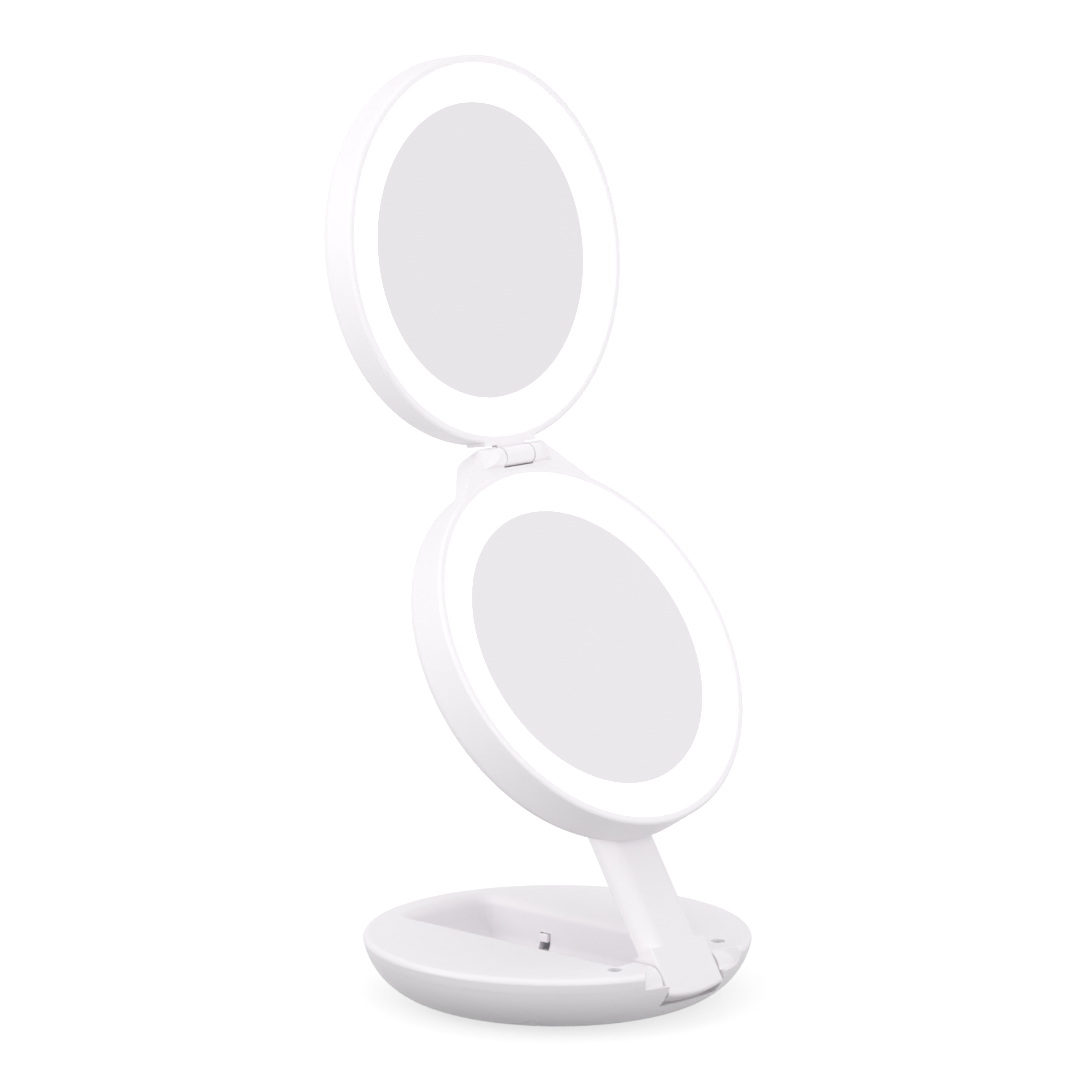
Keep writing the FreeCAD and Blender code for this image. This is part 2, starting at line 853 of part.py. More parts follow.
def above(z):
    return box((-rim_radius, rim_radius), (-rim_radius, rim_radius), (z, deck_height + overrun))


def channel():
    """Space of the channel, with soft upper edges and an end that follows the rim."""
    floor_half = channel_wall - channel_corner
    low_share = channel_corner * arc_corner_share
    high_share = channel_round * arc_corner_share
    right = [
        (floor_half, channel_floor),
        ((channel_wall - low_share, channel_floor + low_share), (channel_wall, channel_floor + channel_corner)),
        (channel_wall, deck_height - channel_round),
        ((channel_wall + high_share, deck_height - high_share), (channel_half, deck_height)),
        (channel_half, deck_height + overrun),
    ]
    left = [
        (-channel_half, deck_height + overrun),
        (-channel_half, deck_height),
        ((-channel_wall - high_share, deck_height - high_share), (-channel_wall, deck_height - channel_round)),
        (-channel_wall, channel_floor + channel_corner),
        ((-channel_wall + low_share, channel_floor + low_share), (-floor_half, channel_floor)),
    ]
    space = prism(right + left, "xz", (-channel_front, rim_radius)).common(channel_end_form(0))
    for keep in both_sides(channel_corner_keep()):
        space = space.cut(keep)
    return space


def channel_corner_keep():
    """Plastic that rounds the corner between the channel's side wall and its end, at one side."""
    x = channel_wall - channel_end_corner
    middle = channel_end - channel_round - channel_end_corner
    y = math.sqrt(middle ** 2 - x ** 2)
    far = rim_radius / middle
    corner = [(x, y), (x + rim_radius, y), (x + rim_radius, y + y * far), (x + x * far, y + y * far)]
    wedge = prism(corner, "xy", (0, deck_height + overrun))
    bend = channel_round * arc_corner_share
    edge = channel_end_corner + channel_round
    top = deck_height + 2 * overrun
    room = turned([
        (0, -overrun),
        (channel_end_corner, -overrun),
        (channel_end_corner, deck_height - channel_round),
        ((channel_end_corner + bend, deck_height - bend), (edge, deck_height)),
        (edge, top),
        (0, top),
    ])
    return wedge.cut(moved(room, x, y))


def channel_end_form(grow):
    """Round form whose back bounds the channel, or the tub round it when grown by the tub's wall."""
    low = channel_floor - grow
    wall_end = channel_end - channel_round + grow
    floor_end = channel_floor_end + grow
    knee = channel_floor + channel_end_rise
    via = (wall_end - (wall_end - floor_end) * arc_corner_share, low + (knee - low) * arc_corner_share)
    top = deck_height + (overrun if grow == 0 else 0)
    round_low = deck_height - channel_round
    bend = channel_round * arc_corner_share
    return turned([
        (0, low),
        (floor_end, low),
        (via, (wall_end, knee)),
        (wall_end, round_low),
        ((wall_end + bend, deck_height - bend), (channel_end + grow, deck_height)),
        (channel_end + grow, top),
        (0, top),
    ])


def tub():
    """Walls and floor round the channel."""
    corner = channel_corner
    section = rounded((-tub_half, tub_half), (channel_floor - tub_wall, deck_height), (corner, corner, 0, 0))
    return prism(section, "xz", (-channel_front - tub_wall, rim_radius)).common(channel_end_form(tub_wall))


def notch():
    """Space in the front rim for the arm's foot."""
    return box((-notch_half, notch_half), (-rim_radius - overrun, overrun - channel_front),
               (notch_floor, deck_height + overrun))


def hinge_relief():
    """Space in front of the hinge cheeks, which are rounded about the hinge axis."""
    plan = [
        (-relief_back_half, hinge_y),
        (-relief_front_half, hinge_y - relief_reach),
        (relief_front_half, hinge_y - relief_reach),
        (relief_back_half, hinge_y),
    ]
    space = prism(plan, "xy", (deck_height - relief_depth, deck_height + overrun))
    width = (-relief_front_half, relief_front_half)
    cheeks = box(width, (cheek_face, hinge_y + overrun), (notch_floor - overrun, hinge_z))
    return space.cut(cheeks).cut(cross_rod(hinge_depth, width, hinge_y, hinge_z))


def hinge_fill(outside, back_y, low, high):
    """Solid plastic behind the hinge's relief."""
    width = (-relief_front_half, relief_front_half)
    return outside.common(box(width, (-rim_radius - overrun, back_y), (low, high)))


def base_screw_places():
    return [(side * x, y) for side in SIDES
            for x, y in ((front_screw_x, -front_screw_y), (back_screw_x, back_screw_y))]


def rubber_foot_places():
    pair = ((front_foot_x, -front_foot_y), (back_foot_x, back_foot_y))
    return [(side * x, y) for side in SIDES for x, y in pair]


def hinge_screw_places():
    return [(side * hinge_screw_x, -hinge_screw_y) for side in SIDES]


def hinge_screw_seat():
    return deck_height - hinge_screw_sink - hinge_screw_head_height


def lid_block(grow):
    """Block that cuts the battery lid out of the bowl's bottom."""
    half = lid_half_width + grow
    return box((-half, half), (lid_front - grow, lid_back + grow),
               (rubber_foot_proud - overrun, rubber_foot_proud + lid_height + grow))


def bowl_shell(outside):
    """Bowl below the parting line, before the lid is cut out of it."""
    shell = outside.cut(base_inside(base_wall)).common(below(parting_z))
    fill_back = cheek_block_front - seat_clearance
    fill = hinge_fill(outside, fill_back, notch_floor - base_wall, parting_z)
    bosses = [rod(base_boss_radius, (rubber_foot_proud, base_boss_joint), at) for at in base_screw_places()]
    bosses += [rod(hinge_boss_radius, (rubber_foot_proud, parting_z), at) for at in hinge_screw_places()]
    bosses = [boss.common(outside) for boss in bosses]
    return fused([shell, fill] + bosses)


def base_bowl(shell):
    bowl = shell.cut(notch()).cut(hinge_relief()).cut(lid_block(lid_gap))
    for at in base_screw_places():
        bowl = bowl.cut(rod(base_screw_head_radius + screw_clearance, (-overrun, base_screw_seat), at))
        bowl = bowl.cut(rod(base_screw_radius + screw_clearance, (-overrun, base_boss_joint + overrun), at))
    for at in hinge_screw_places():
        seat = hinge_screw_seat()
        bowl = bowl.cut(rod(hinge_screw_radius + screw_clearance, (seat - hinge_screw_length, deck_height), at))
    for at in rubber_foot_places():
        bowl = bowl.cut(rod(rubber_foot_radius + screw_clearance,
                            (-overrun, rubber_foot_proud + rubber_foot_sink), at))
    return bowl


def battery_lid(shell):
    """Lid cut from the bowl's own curve, with a thumb groove near its back edge."""
    groove = box((-thumb_groove_half, thumb_groove_half),
                 (lid_back - thumb_groove_inset - thumb_groove_width, lid_back - thumb_groove_inset),
                 (rubber_foot_proud - overrun, rubber_foot_proud + thumb_groove_depth))
    return shell.common(lid_block(0)).cut(groove)


def bay_walls():
    """Walls under the deck that hold the battery contacts."""
    reach = contact_half_height + bay_side_gap
    x = (tub_half - seat_clearance, cell_xs[-1] + reach)
    room = base_inside(base_wall + lid_swing_gap)
    walls = []
    for y in ((bay_front - bay_wall, bay_front), (bay_back, bay_back + bay_wall)):
        walls += both_sides(box(x, y, (cell_z - reach, deck_height)).common(room))
    return walls


def base_top_cover(outside):
    """Deck with its rim, the tub of the channel, the hinge cheeks and the bosses under the deck."""
    room = base_inside(base_wall + seat_clearance)
    shell = outside.cut(base_inside(base_wall)).common(above(parting_z + parting_gap))
    skirt_outer = bowl_radius(parting_z, base_wall) - seat_clearance
    skirt = ring(skirt_outer - skirt_wall, skirt_outer, (parting_z - skirt_height, deck_under))
    fill_back = cheek_block_front - seat_clearance
    fill_width = (-relief_front_half - seat_clearance, relief_front_half + seat_clearance)
    fill_room = box(fill_width, (-rim_radius - overrun, fill_back + seat_clearance), (0, parting_z))
    skirt = skirt.common(room).cut(fill_room)
    cheeks = box((-cheek_half, cheek_half), (cheek_block_front, -channel_front),
                 (notch_floor - tub_wall, deck_height))
    fill = hinge_fill(outside, -channel_front, parting_z + parting_gap, deck_height)
    inner = [tub(), cheeks] + bay_walls()
    inner += [rod(base_boss_radius, (base_boss_joint + seat_clearance, deck_height), at)
              for at in base_screw_places()]
    inner += [rod(board_peg_radius, (board_level(), deck_height), at) for at in board_peg_places()]
    inner = [piece.common(room) for piece in inner]
    rims = [rod(hinge_boss_rim_radius, (parting_z + parting_gap, deck_under), at)
            for at in hinge_screw_places()]
    cover = fused([shell, skirt, fill] + inner + rims)
    pin_span = (-arm_pin_half_length, arm_pin_half_length)
    pin_bore = cross_rod(arm_pin_radius + pin_clearance, pin_span, hinge_y, hinge_z)
    for tool in (channel(), notch(), hinge_relief(), pin_bore, switch_slot()):
        cover = cover.cut(tool)
    for at in hinge_screw_places():
        seat = hinge_screw_seat()
        cover = cover.cut(rod(hinge_screw_head_radius + screw_clearance, (seat, deck_height + overrun), at))
        cover = cover.cut(rod(hinge_screw_radius + screw_clearance,
                              (seat - hinge_screw_length, deck_height), at))
    for at in base_screw_places():
        tip = base_screw_seat + base_screw_length + screw_clearance
        cover = cover.cut(rod(base_screw_radius + screw_clearance, (0, tip), at))
    return cover


# Base hinge and fasteners

def arm_hinge_pin():
    return cross_rod(arm_pin_radius, (-arm_pin_half_length, arm_pin_half_length), hinge_y, hinge_z)


def arm_hinge_washers():
    span = (notch_half - arm_washer_thickness, notch_half)
    disc = cross_rod(arm_washer_radius, span, hinge_y, hinge_z)
    hole = cross_rod(arm_pin_radius + pin_clearance, (span[0] - overrun, span[1] + overrun), hinge_y, hinge_z)
    return Part.makeCompound(both_sides(disc.cut(hole)))


def hinge_screws():
    screws = []
    seat = hinge_screw_seat()
    for at in hinge_screw_places():
        head = rod(hinge_screw_head_radius, (seat, seat + hinge_screw_head_height), at)
        shank = rod(hinge_screw_radius, (seat - hinge_screw_length, seat), at)
        screws.append(head.fuse(shank))
    return Part.makeCompound(screws)


def base_screws():
    screws = []
    for at in base_screw_places():
        head = rod(base_screw_head_radius, (base_screw_seat - base_screw_head_height, base_screw_seat), at)
        shank = rod(base_screw_radius, (base_screw_seat, base_screw_seat + base_screw_length), at)
        screws.append(head.fuse(shank))
    return Part.makeCompound(screws)


def rubber_feet():
    span = (0, rubber_foot_proud + rubber_foot_sink)
    return Part.makeCompound([rod(rubber_foot_radius, span, at) for at in rubber_foot_places()])


# Batteries

def battery_cell(x, points_back):
    """Cell along Y, with its positive nub at the back or at the front."""
    front = -cell_mid - cell_length / 2
    back = -cell_mid + cell_length / 2
    if points_back:
        body = (front, back - cell_nub_length)
    else:
        body = (front + cell_nub_length, back)
    return long_rod(cell_radius, x, body, cell_z).fuse(long_rod(cell_nub_radius, x, (front, back), cell_z))


def contact_plate(x, wall_y, direction):
    """Plate against a bay wall with one nub for each cell that it serves."""
    z = (cell_z - contact_half_height, cell_z + contact_half_height)
    face_y = wall_y + direction * contact_thickness
    tip_y = face_y + direction * (contact_gap - contact_play)
    plate = box((min(x) - contact_half_height, max(x) + contact_half_height), sorted((wall_y, face_y)), z)
    nubs = [long_rod(contact_nub_radius, at, sorted((face_y, tip_y)), cell_z) for at in x]
    return plate.multiFuse(nubs).removeSplitter()


def front_contacts():
    return Part.makeCompound(both_sides(contact_plate(cell_xs, bay_front, 1)))


def back_contacts():
    plates = []
    for x in cell_xs:
        plates += both_sides(contact_plate([x], bay_back, -1))
    return Part.makeCompound(plates)


# Power switch

def switch_slot():
    """Slot through the tub's wall that the switch's knob moves in."""
    return box((channel_wall - channel_corner, tub_half + overrun),
               (switch_y - switch_slot_half, switch_y + switch_slot_half),
               (switch_slot_low, switch_slot_high))


def switch_body():
    """Housing on the outside of the tub's wall, hollow for the slider."""
    z = (switch_slot_low - switch_body_wall, switch_slot_high + switch_body_wall)
    y = (switch_y - switch_body_half, switch_y + switch_body_half)
    block = box((tub_half, tub_half + switch_body_depth), y, z)
    hollow = box((tub_half - overrun, tub_half + slider_thickness + 2 * slide_clearance),
                 (y[0] + switch_body_wall, y[1] - switch_body_wall),
                 (z[0] + switch_body_wall, z[1] - switch_body_wall))
    return block.cut(hollow)


def switch_knob():
    """Knob in the channel, its stem through the wall and its slider inside the housing."""
    top = switch_slot_high - slide_clearance
    z = (top - switch_knob_height, top)
    knob_y = (switch_y - switch_knob_half, switch_y + switch_knob_half)
    stem = box((channel_wall - switch_knob_proud, tub_half + slide_clearance + slider_thickness), knob_y, z)
    reach = switch_body_half - switch_body_wall - slider_margin
    slider = box((tub_half + slide_clearance, tub_half + slide_clearance + slider_thickness),
                 (switch_y - reach, switch_y + reach), z)
    return fused([stem, slider])


# Circuit board

def board_level():
    return deck_under - board_drop


def board_limits():
    outer = -tub_half - board_inner_gap
    return (outer - board_length, outer), (board_front, board_front + board_width)


def board_peg_places():
    x, y = board_limits()
    middle = (y[0] + y[1]) / 2
    return [(x[0] + board_peg_inset, middle), (x[1] - board_peg_inset, middle)]


def circuit_board():
    x, y = board_limits()
    return box(x, y, (board_level() - board_thickness, board_level()))


def board_components():
    """A driver chip and a capacitor under the board."""
    x, y = board_limits()
    low = board_level() - board_thickness
    middle = (y[0] + y[1]) / 2
    chip_x = x[1] - component_inset
    chip = box((chip_x - chip_length / 2, chip_x + chip_length / 2),
               (middle - chip_width / 2, middle + chip_width / 2), (low - chip_height, low))
    can = rod(capacitor_radius, (low - capacitor_height, low), (x[0] + component_inset, middle))
    return Part.makeCompound([chip, can])


# All pieces, by name

def base_pieces():
    outside = base_outside()
    shell = bowl_shell(outside)
    pieces = {
        "base_bowl": base_bowl(shell),
        "base_top_cover": base_top_cover(outside),
        "battery_lid": battery_lid(shell),
        "rubber_feet": rubber_feet(),
        "base_screws": base_screws(),
        "hinge_screws": hinge_screws(),
        "arm_hinge_pin": arm_hinge_pin(),
        "arm_hinge_washers": arm_hinge_washers(),
        "front_battery_contacts": front_contacts(),
        "back_battery_contacts": back_contacts(),
        "switch_body": switch_body(),
        "switch_knob": switch_knob(),
        "base_circuit_board": circuit_board(),
        "base_board_components": board_components(),
    }
    places = [side * x for side in SIDES for x in cell_xs]
    for i, x in enumerate(places):
        pieces["battery_cell_%d" % (i + 1)] = battery_cell(x, i % 2 == 0)
    return pieces


def arm_pieces():
    pieces = {
        "arm": arm(),
        "arm_stop_bar": stop_bar_block(0),
        "arm_ribbon_cable": ribbon_cable(),
    }
    return {name: on_arm(shape) for name, shape in pieces.items()}


def lamp_pieces(prefix, inner_floor, depth):
    """The pieces that are alike in both discs."""
    return {
        prefix + "_mirror_glass": mirror_glass(),
        prefix + "_diffuser": diffuser(),
        prefix + "_light_tray": light_tray(inner_floor),
        prefix + "_led_board": led_board(inner_floor),
        prefix + "_leds": leds(inner_floor),
        prefix + "_disc_screws": disc_screws(depth, inner_floor),
    }


def lower_pieces():
    inner_floor = back_wall - lower_depth
    span = disc_radius + hinge_reach
    front_half = box((-span, span), (-span, span), (-lower_parting, span))
    shell = back_shell(lower_parting, lower_straight, lower_edge_round, 0)
    back = fused([shell, spine()])
    back = spine_screw_holes(with_screw_seats(back, lower_depth, inner_floor, 0))
    pieces = lamp_pieces("lower", inner_floor, lower_depth)
    pieces.update({
        "lower_front_ring": fused([front_ring(lower_parting), hinge_hood().common(front_half)]),
        "lower_back_cover": back,
        "spine_cover": spine_cover(),
        "spine_cover_screws": spine_screws(),
        "slide_leaf_spring": leaf_spring(),
        "mirror_hinge_pin": disc_hinge_pin(),
        "mirror_hinge_washers": disc_hinge_washers(),
    })
    return {name: on_lower(shape) for name, shape in pieces.items()}


def upper_pieces():
    inner_floor = back_wall - upper_edge_depth
    shell = back_shell(upper_parting, upper_straight, upper_edge_round, upper_dome_height)
    pieces = lamp_pieces("upper", inner_floor, upper_edge_depth)
    pieces.update({
        "upper_front_ring": fused([front_ring(upper_parting), hinge_barrel()]),
        "upper_back_cover": with_screw_seats(shell, upper_edge_depth, inner_floor, upper_dome_height),
    })
    return {name: on_upper(shape) for name, shape in pieces.items()}


def main():
    os.makedirs("parts", exist_ok=True)
    for group in (base_pieces(), arm_pieces(), lower_pieces(), upper_pieces()):
        for name, shape in group.items():
            shape.exportStep("parts/" + name + ".step")
            print(name, len(shape.Solids), "solid(s)", round(shape.Volume, 1), "mm3", shape.isValid())


if __name__ == "__main__":
    main()
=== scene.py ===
"""Finishes, small fittings and studio stage for a folding travel mirror with two lit discs.

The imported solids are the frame: they stay where they are and get their finishes here. Screws, cells,
contacts, feet and the switch's knob are modelled again, with the detail that the solids leave out.
"""

import json
import math

import bpy
from bpy.props import FloatProperty, FloatVectorProperty, IntProperty, PointerProperty
from mathutils import Matrix, Vector

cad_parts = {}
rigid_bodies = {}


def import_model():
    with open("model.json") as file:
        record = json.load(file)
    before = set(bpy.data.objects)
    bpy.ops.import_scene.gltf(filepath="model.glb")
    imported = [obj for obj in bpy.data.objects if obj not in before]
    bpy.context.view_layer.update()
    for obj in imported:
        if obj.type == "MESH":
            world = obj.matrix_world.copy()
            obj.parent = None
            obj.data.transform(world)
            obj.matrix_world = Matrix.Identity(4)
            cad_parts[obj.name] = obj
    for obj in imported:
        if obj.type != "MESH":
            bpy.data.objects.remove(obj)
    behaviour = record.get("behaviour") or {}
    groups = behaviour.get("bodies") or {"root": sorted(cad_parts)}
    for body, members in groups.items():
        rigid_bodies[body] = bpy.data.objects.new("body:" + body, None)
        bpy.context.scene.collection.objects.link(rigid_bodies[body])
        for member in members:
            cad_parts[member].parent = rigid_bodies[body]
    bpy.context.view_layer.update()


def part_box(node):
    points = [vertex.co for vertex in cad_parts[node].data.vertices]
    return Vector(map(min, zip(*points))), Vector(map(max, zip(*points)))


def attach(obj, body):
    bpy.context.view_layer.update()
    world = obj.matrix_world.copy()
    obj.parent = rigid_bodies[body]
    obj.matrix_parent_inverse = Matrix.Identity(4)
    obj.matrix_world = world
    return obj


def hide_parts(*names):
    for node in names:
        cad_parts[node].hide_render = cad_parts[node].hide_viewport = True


bl_info = {
    "name": "Folding lighted travel mirror",
    "version": (1, 0, 0),
    "blender": (4, 5, 0),
    "location": "3D View > Sidebar > Travel Mirror",
    "description": "Finishes, fittings and a studio stage for a travel mirror with two lit discs",
    "category": "Object",
}

for left_over in list(bpy.data.objects):
    bpy.data.objects.remove(left_over)
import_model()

MM = 0.001
SIDES = (-1, 1)
WHITE = (1.0, 1.0, 1.0, 1.0)


def linear(code):
    """Linear colour of an sRGB hex value."""
    shares = [int(code[i:i + 2], 16) / 255 for i in (1, 3, 5)]
    return [s / 12.92 if s <= 0.04045 else ((s + 0.055) / 1.055) ** 2.4 for s in shares]


def colour(label, note, code):
    """A colour that the user may change, given as a hex value."""
    return FloatVectorProperty(name=label, description=note, default=linear(code), size=3,
                               min=0.0, max=1.0, subtype="COLOR")


def length(label, note, mm):
    """A size that the user may change, given in millimetres and kept in metres."""
    return FloatProperty(name=label, description=note, default=mm * MM, min=0.0,
                         subtype="DISTANCE", unit="LENGTH")


def angle(label, note, degrees):
    """An angle that the user may change, given in degrees."""
    return FloatProperty(name=label, description=note, default=math.radians(degrees),
                         subtype="ANGLE", unit="ROTATION")


def strength(label, note, value):
    """Strength of a light that the user may change."""
    return FloatProperty(name=label, description=note, default=value, min=0.0)


class FinishSettings(bpy.types.PropertyGroup):
    """Colours of the finishes."""

    shell: colour("Shells", "Satin moulded ABS of the housings, arm and base", "#F2EFF2")
    # The lower glass is tinted a little lighter than the upper: a painted reflection, for the brighter
    # reflection of the lower mirror
    silver_upper: colour("Upper silvering", "Tint of the upper mirror's glass", "#E8E5E8")
    silver_lower: colour("Lower silvering", "Tint of the lower mirror's glass", "#EBE8EB")
    opal: colour("Diffusers", "Opal acrylic of the light rings", "#FDFCFD")
    glow: strength("Ring glow", "Strength of the light that the rings give", 0.75)
    tray: colour("Light trays", "Glossy white ABS behind the diffusers", "#EDEDED")
    rubber: colour("Feet", "Grey rubber of the feet", "#8B8C90")
    zinc: colour("Screws", "Zinc-plated steel", "#B4B7BA")
    steel: colour("Pins", "Ground steel of the pins and the stop bar", "#A9ABAE")
    spring: colour("Springs and contacts", "Nickel-plated spring steel", "#C3C1BB")
    nylon: colour("Washers", "Natural nylon", "#E4E0D4")
    jacket: colour("Cell jackets", "Shrink sleeve of the cells", "#34363C")
    jacket_band: colour("Cell bands", "Lighter band at the cells' positive end", "#A8A29A")
    # The housing's pale grey is painted fill light: it is lighter than the part, so that its shaded slot
    # shows grey
    switch: colour("Switch housing", "Pale grey PBT", "#DEDEE2")
    # The knob's white is paler than the shells': partly its own white, partly painted light against the shade
    # of its recess
    knob: colour("Switch knob", "White acetal", "#FAF7FA")
    board: colour("Circuit board", "Green solder mask", "#1F5B3A")
    led_board: colour("LED boards", "White solder mask", "#ECECE6")
    led: colour("LEDs", "Phosphor of the LED packages", "#F2DE8C")
    chip: colour("Components", "Black epoxy", "#1E1F21")
    cable: colour("Flat cable", "White PVC", "#DFDDD8")


class FittingSettings(bpy.types.PropertyGroup):
    """Sizes of the pieces that are modelled here."""

    segments: IntProperty(name="Segments", description="Sides of the round fittings", default=40, min=12)
    cross_width: length("Recess width", "Width of the cross recess in the base's screws", 0.75)
    head_crown: length("Head crown", "Rounding of the rim on the base's screw heads", 0.5)
    thread_pitch: length("Thread pitch", "Distance between the threads of the base's screws", 0.9)
    foot_round: length("Foot rounding", "Rounding of a rubber foot's rim", 0.35)
    foot_groove: length("Foot groove", "Depth of the grip grooves in a rubber foot", 0.15)
    sleeve_step: length("Sleeve step", "Thickness of a cell's shrink sleeve", 0.12)
    spring_wire: length("Spring wire", "Thickness of the contact springs' wire", 0.36)
    spring_radius: length("Spring radius", "Radius of a contact spring's widest turn", 2.7)
    spring_turns: IntProperty(name="Spring turns", description="Turns of a contact spring", default=2,
                              min=1)
    grip_length: length("Grip length", "Length of the ribs under the battery lid", 20.0)
    grip_height: length("Grip height", "How far the ribs stand out of the battery lid", 0.5)
    grip_pitch: length("Grip pitch", "Distance from one rib of the lid to the next", 2.2)
    grip_edge: length("Grip edge", "From the lid's edge to the first rib, past the finger slot", 8.0)
    knob_round: length("Knob rounding", "Rounding of the switch knob's edges", 0.25)
    rib_depth: length("Rib depth", "Depth of the grooves between the knob's ribs", 0.16)


class StageSettings(bpy.types.PropertyGroup):
    """Camera, lamps and floor."""

    lens: FloatProperty(name="Lens", description="Focal length on a 36 mm sensor, in millimetres",
                        default=156.67)
    target: FloatVectorProperty(name="Target", description="Point in the middle of the picture", size=3,
                                default=(0.0, 0.00806, 0.1558), subtype="XYZ", unit="LENGTH")
    azimuth: angle("Azimuth", "Camera's turn from the front towards the left side", 47.12)
    elevation: angle("Elevation", "Camera's rise above the target", 9.55)
    distance: length("Distance", "From the camera to the target", 1584.5)
    side_power: strength("Side lamp", "Power of the soft lamp at the left", 8.5)
    front_power: strength("Front lamp", "Power of the soft lamp in front", 10.0)
    top_power: strength("Top lamp", "Power of the soft lamp overhead", 4.0)
    sky: strength("Sky", "Strength of the even light from all round", 0.8)
    floor: colour("Floor", "Paper floor round the object, as it throws light back", "#A0A0A0")
    far_floor: colour("Far floor", "Paper floor further out, where it throws back more light", "#F0F0F0")
    floor_near: length("Near floor", "Radius at which the floor starts to grow paler", 120.0)
    floor_far: length("Pale floor", "Radius from which the floor is palest", 330.0)
    lift: strength("Floor lift", "Glow that makes the floor white to the camera", 0.72)
    far_lift: strength("Far lift", "The same glow where the floor is palest", 0.4)


class MirrorSettings(bpy.types.PropertyGroup):
    """All settings of the travel mirror."""

    finish: PointerProperty(type=FinishSettings)
    fitting: PointerProperty(type=FittingSettings)
    stage: PointerProperty(type=StageSettings)


# Places of the moving groups, as the solids have them: the arm leaves its hinge at the raise angle, a
# disc's own frame has its lens plane at zero, and the upper disc leans on from the lower one

ARM_RAISE = math.radians(58.4)
MIRROR_LEAN = math.radians(23.2)
ARM_HINGE = Vector((0, -54.8, 16.3)) * MM
LOWER_CENTRE = Vector((0, 111.6, 21.4)) * MM
LOWER_HINGE = Vector((0, 70.0, 2.4)) * MM
UPPER_CENTRE = Vector((0, 70.0, -4.0)) * MM
ARM_FRAME = Matrix.Translation(ARM_HINGE) @ Matrix.Rotation(ARM_RAISE, 4, "X")
LOWER_FRAME = ARM_FRAME @ Matrix.Translation(LOWER_CENTRE)
UPPER_FRAME = (LOWER_FRAME @ Matrix.Translation(LOWER_HINGE) @ Matrix.Rotation(MIRROR_LEAN, 4, "X")
               @ Matrix.Translation(UPPER_CENTRE))
FACE_DOWN = Matrix.Rotation(math.pi, 4, "X")

# Screws, as the solids have them, in millimetres: radius and height of the head, radius of the shank and
# reach below the head. Their spots are given for one side, and their seats are where the head's top lies

BASE_SCREW = (2.4, 1.4, 1.3, 12.0)
BASE_SCREW_SPOTS = ((32.0, -39.5), (31.0, 33.0))
BASE_SCREW_SEAT = 2.8
HINGE_SCREW = (2.4, 1.4, 1.2, 8.0)
HINGE_SCREW_SPOTS = ((26.0, -49.7),)
HINGE_SCREW_SEAT = 21.0
DISC_SCREW = (2.2, 1.4, 1.1, 5.0)
DISC_SCREW_SPOTS = ((25.66, -22.306), (25.66, 22.306))
LOWER_SCREW_SEAT = -15.4
UPPER_SCREW_SEAT = -11.2
SPINE_SCREW = (1.05, 0.8, 0.6, 3.8)
SPINE_SCREW_SPOTS = ((13.8, -39.1), (13.8, 41.0))
SPINE_SCREW_SEAT = -26.7

# The other fittings, in millimetres. A contact's dimple is given by radius and share of its height, a
# foot's grooves by their outer edge, and the knob by its slider's thickness and half of its cap's width

CELL_COUNT = 4
CELL_NUB = 1.0
CONTACT_PLATE = 0.4
CONTACT_DIMPLE = ((1.9, 0.0), (1.6, 0.5), (1.2, 0.8), (0.6, 0.97), (0.1, 1.0))
FOOT_RADIUS = 4.0
FOOT_SPOTS = ((14.0, -37.5), (20.0, 32.0))
FOOT_GROOVES = (2.9, 1.9, 0.9)
GRIP_ROWS = 5
KNOB_RIBS = 4
KNOB_SLIDER = 2.4
KNOB_CAP_HALF = 1.8

# The middle of a rounded rim lies this share of its radius inside the corner

ROUND_MIDDLE = 0.3

# Values that mark the faces of a cell

SLEEVE = 0.0
BAND = 0.5
BARE = 1.0


def both_sides(spots, height):
    """Places left and right for the spots of one side, all given in millimetres."""
    return [Matrix.Translation(Vector((side * x, y, height)) * MM) for side in SIDES for x, y in spots]


def facing(end):
    """Turn that lays a piece's own Z along the cells, towards the back for 1 and the front for -1."""
    return Matrix.Rotation(-end * math.pi / 2, 4, "X")


def nub_at_back(number):
    """The cells lie head to tail: the odd ones have their nub at the back."""
    return number % 2 == 1


# Materials: share by which a moulded surface's gloss drifts, and how much longer than wide the lines on
# metal are, with the shares by which they darken and lighten it and change its gloss

GLOSS_DRIFT = 0.12
LINE_STRETCH = 40
LINE_DARK = 0.86
LINE_LIGHT = 1.1
LINE_GLOSS = 0.25


def add(tree, kind, inputs=None, **settings):
    """One node: settings go on it, and inputs hold socket values or the sockets that feed them."""
    made = tree.nodes.new(kind)
    for name, value in settings.items():
        setattr(made, name, value)
    for name, value in (inputs or {}).items():
        if isinstance(value, bpy.types.NodeSocket):
            tree.links.new(value, made.inputs[name])
        else:
            made.inputs[name].default_value = value
    return made


def rgba(value):
    """The colour with full cover."""
    return (*value, 1.0)


def shade(value, factor):
    """The colour, lighter or darker by a factor."""
    return tuple(min(1.0, c * factor) for c in value)


def material(name):
    """Bare node material with the object's own coordinates."""
    made = bpy.data.materials.new(name)
    made.use_nodes = True
    made.node_tree.nodes.clear()
    place = add(made.node_tree, "ShaderNodeTexCoord").outputs["Object"]
    return made, made.node_tree, place


def close(made, shader):
    """Links a material's shader to its output."""
    add(made.node_tree, "ShaderNodeOutputMaterial", {"Surface": shader.outputs[0]})
    return made


def per_mm(size):
    """Texture scale that gives a pattern of that size in millimetres."""
    return 1.0 / (size * MM)


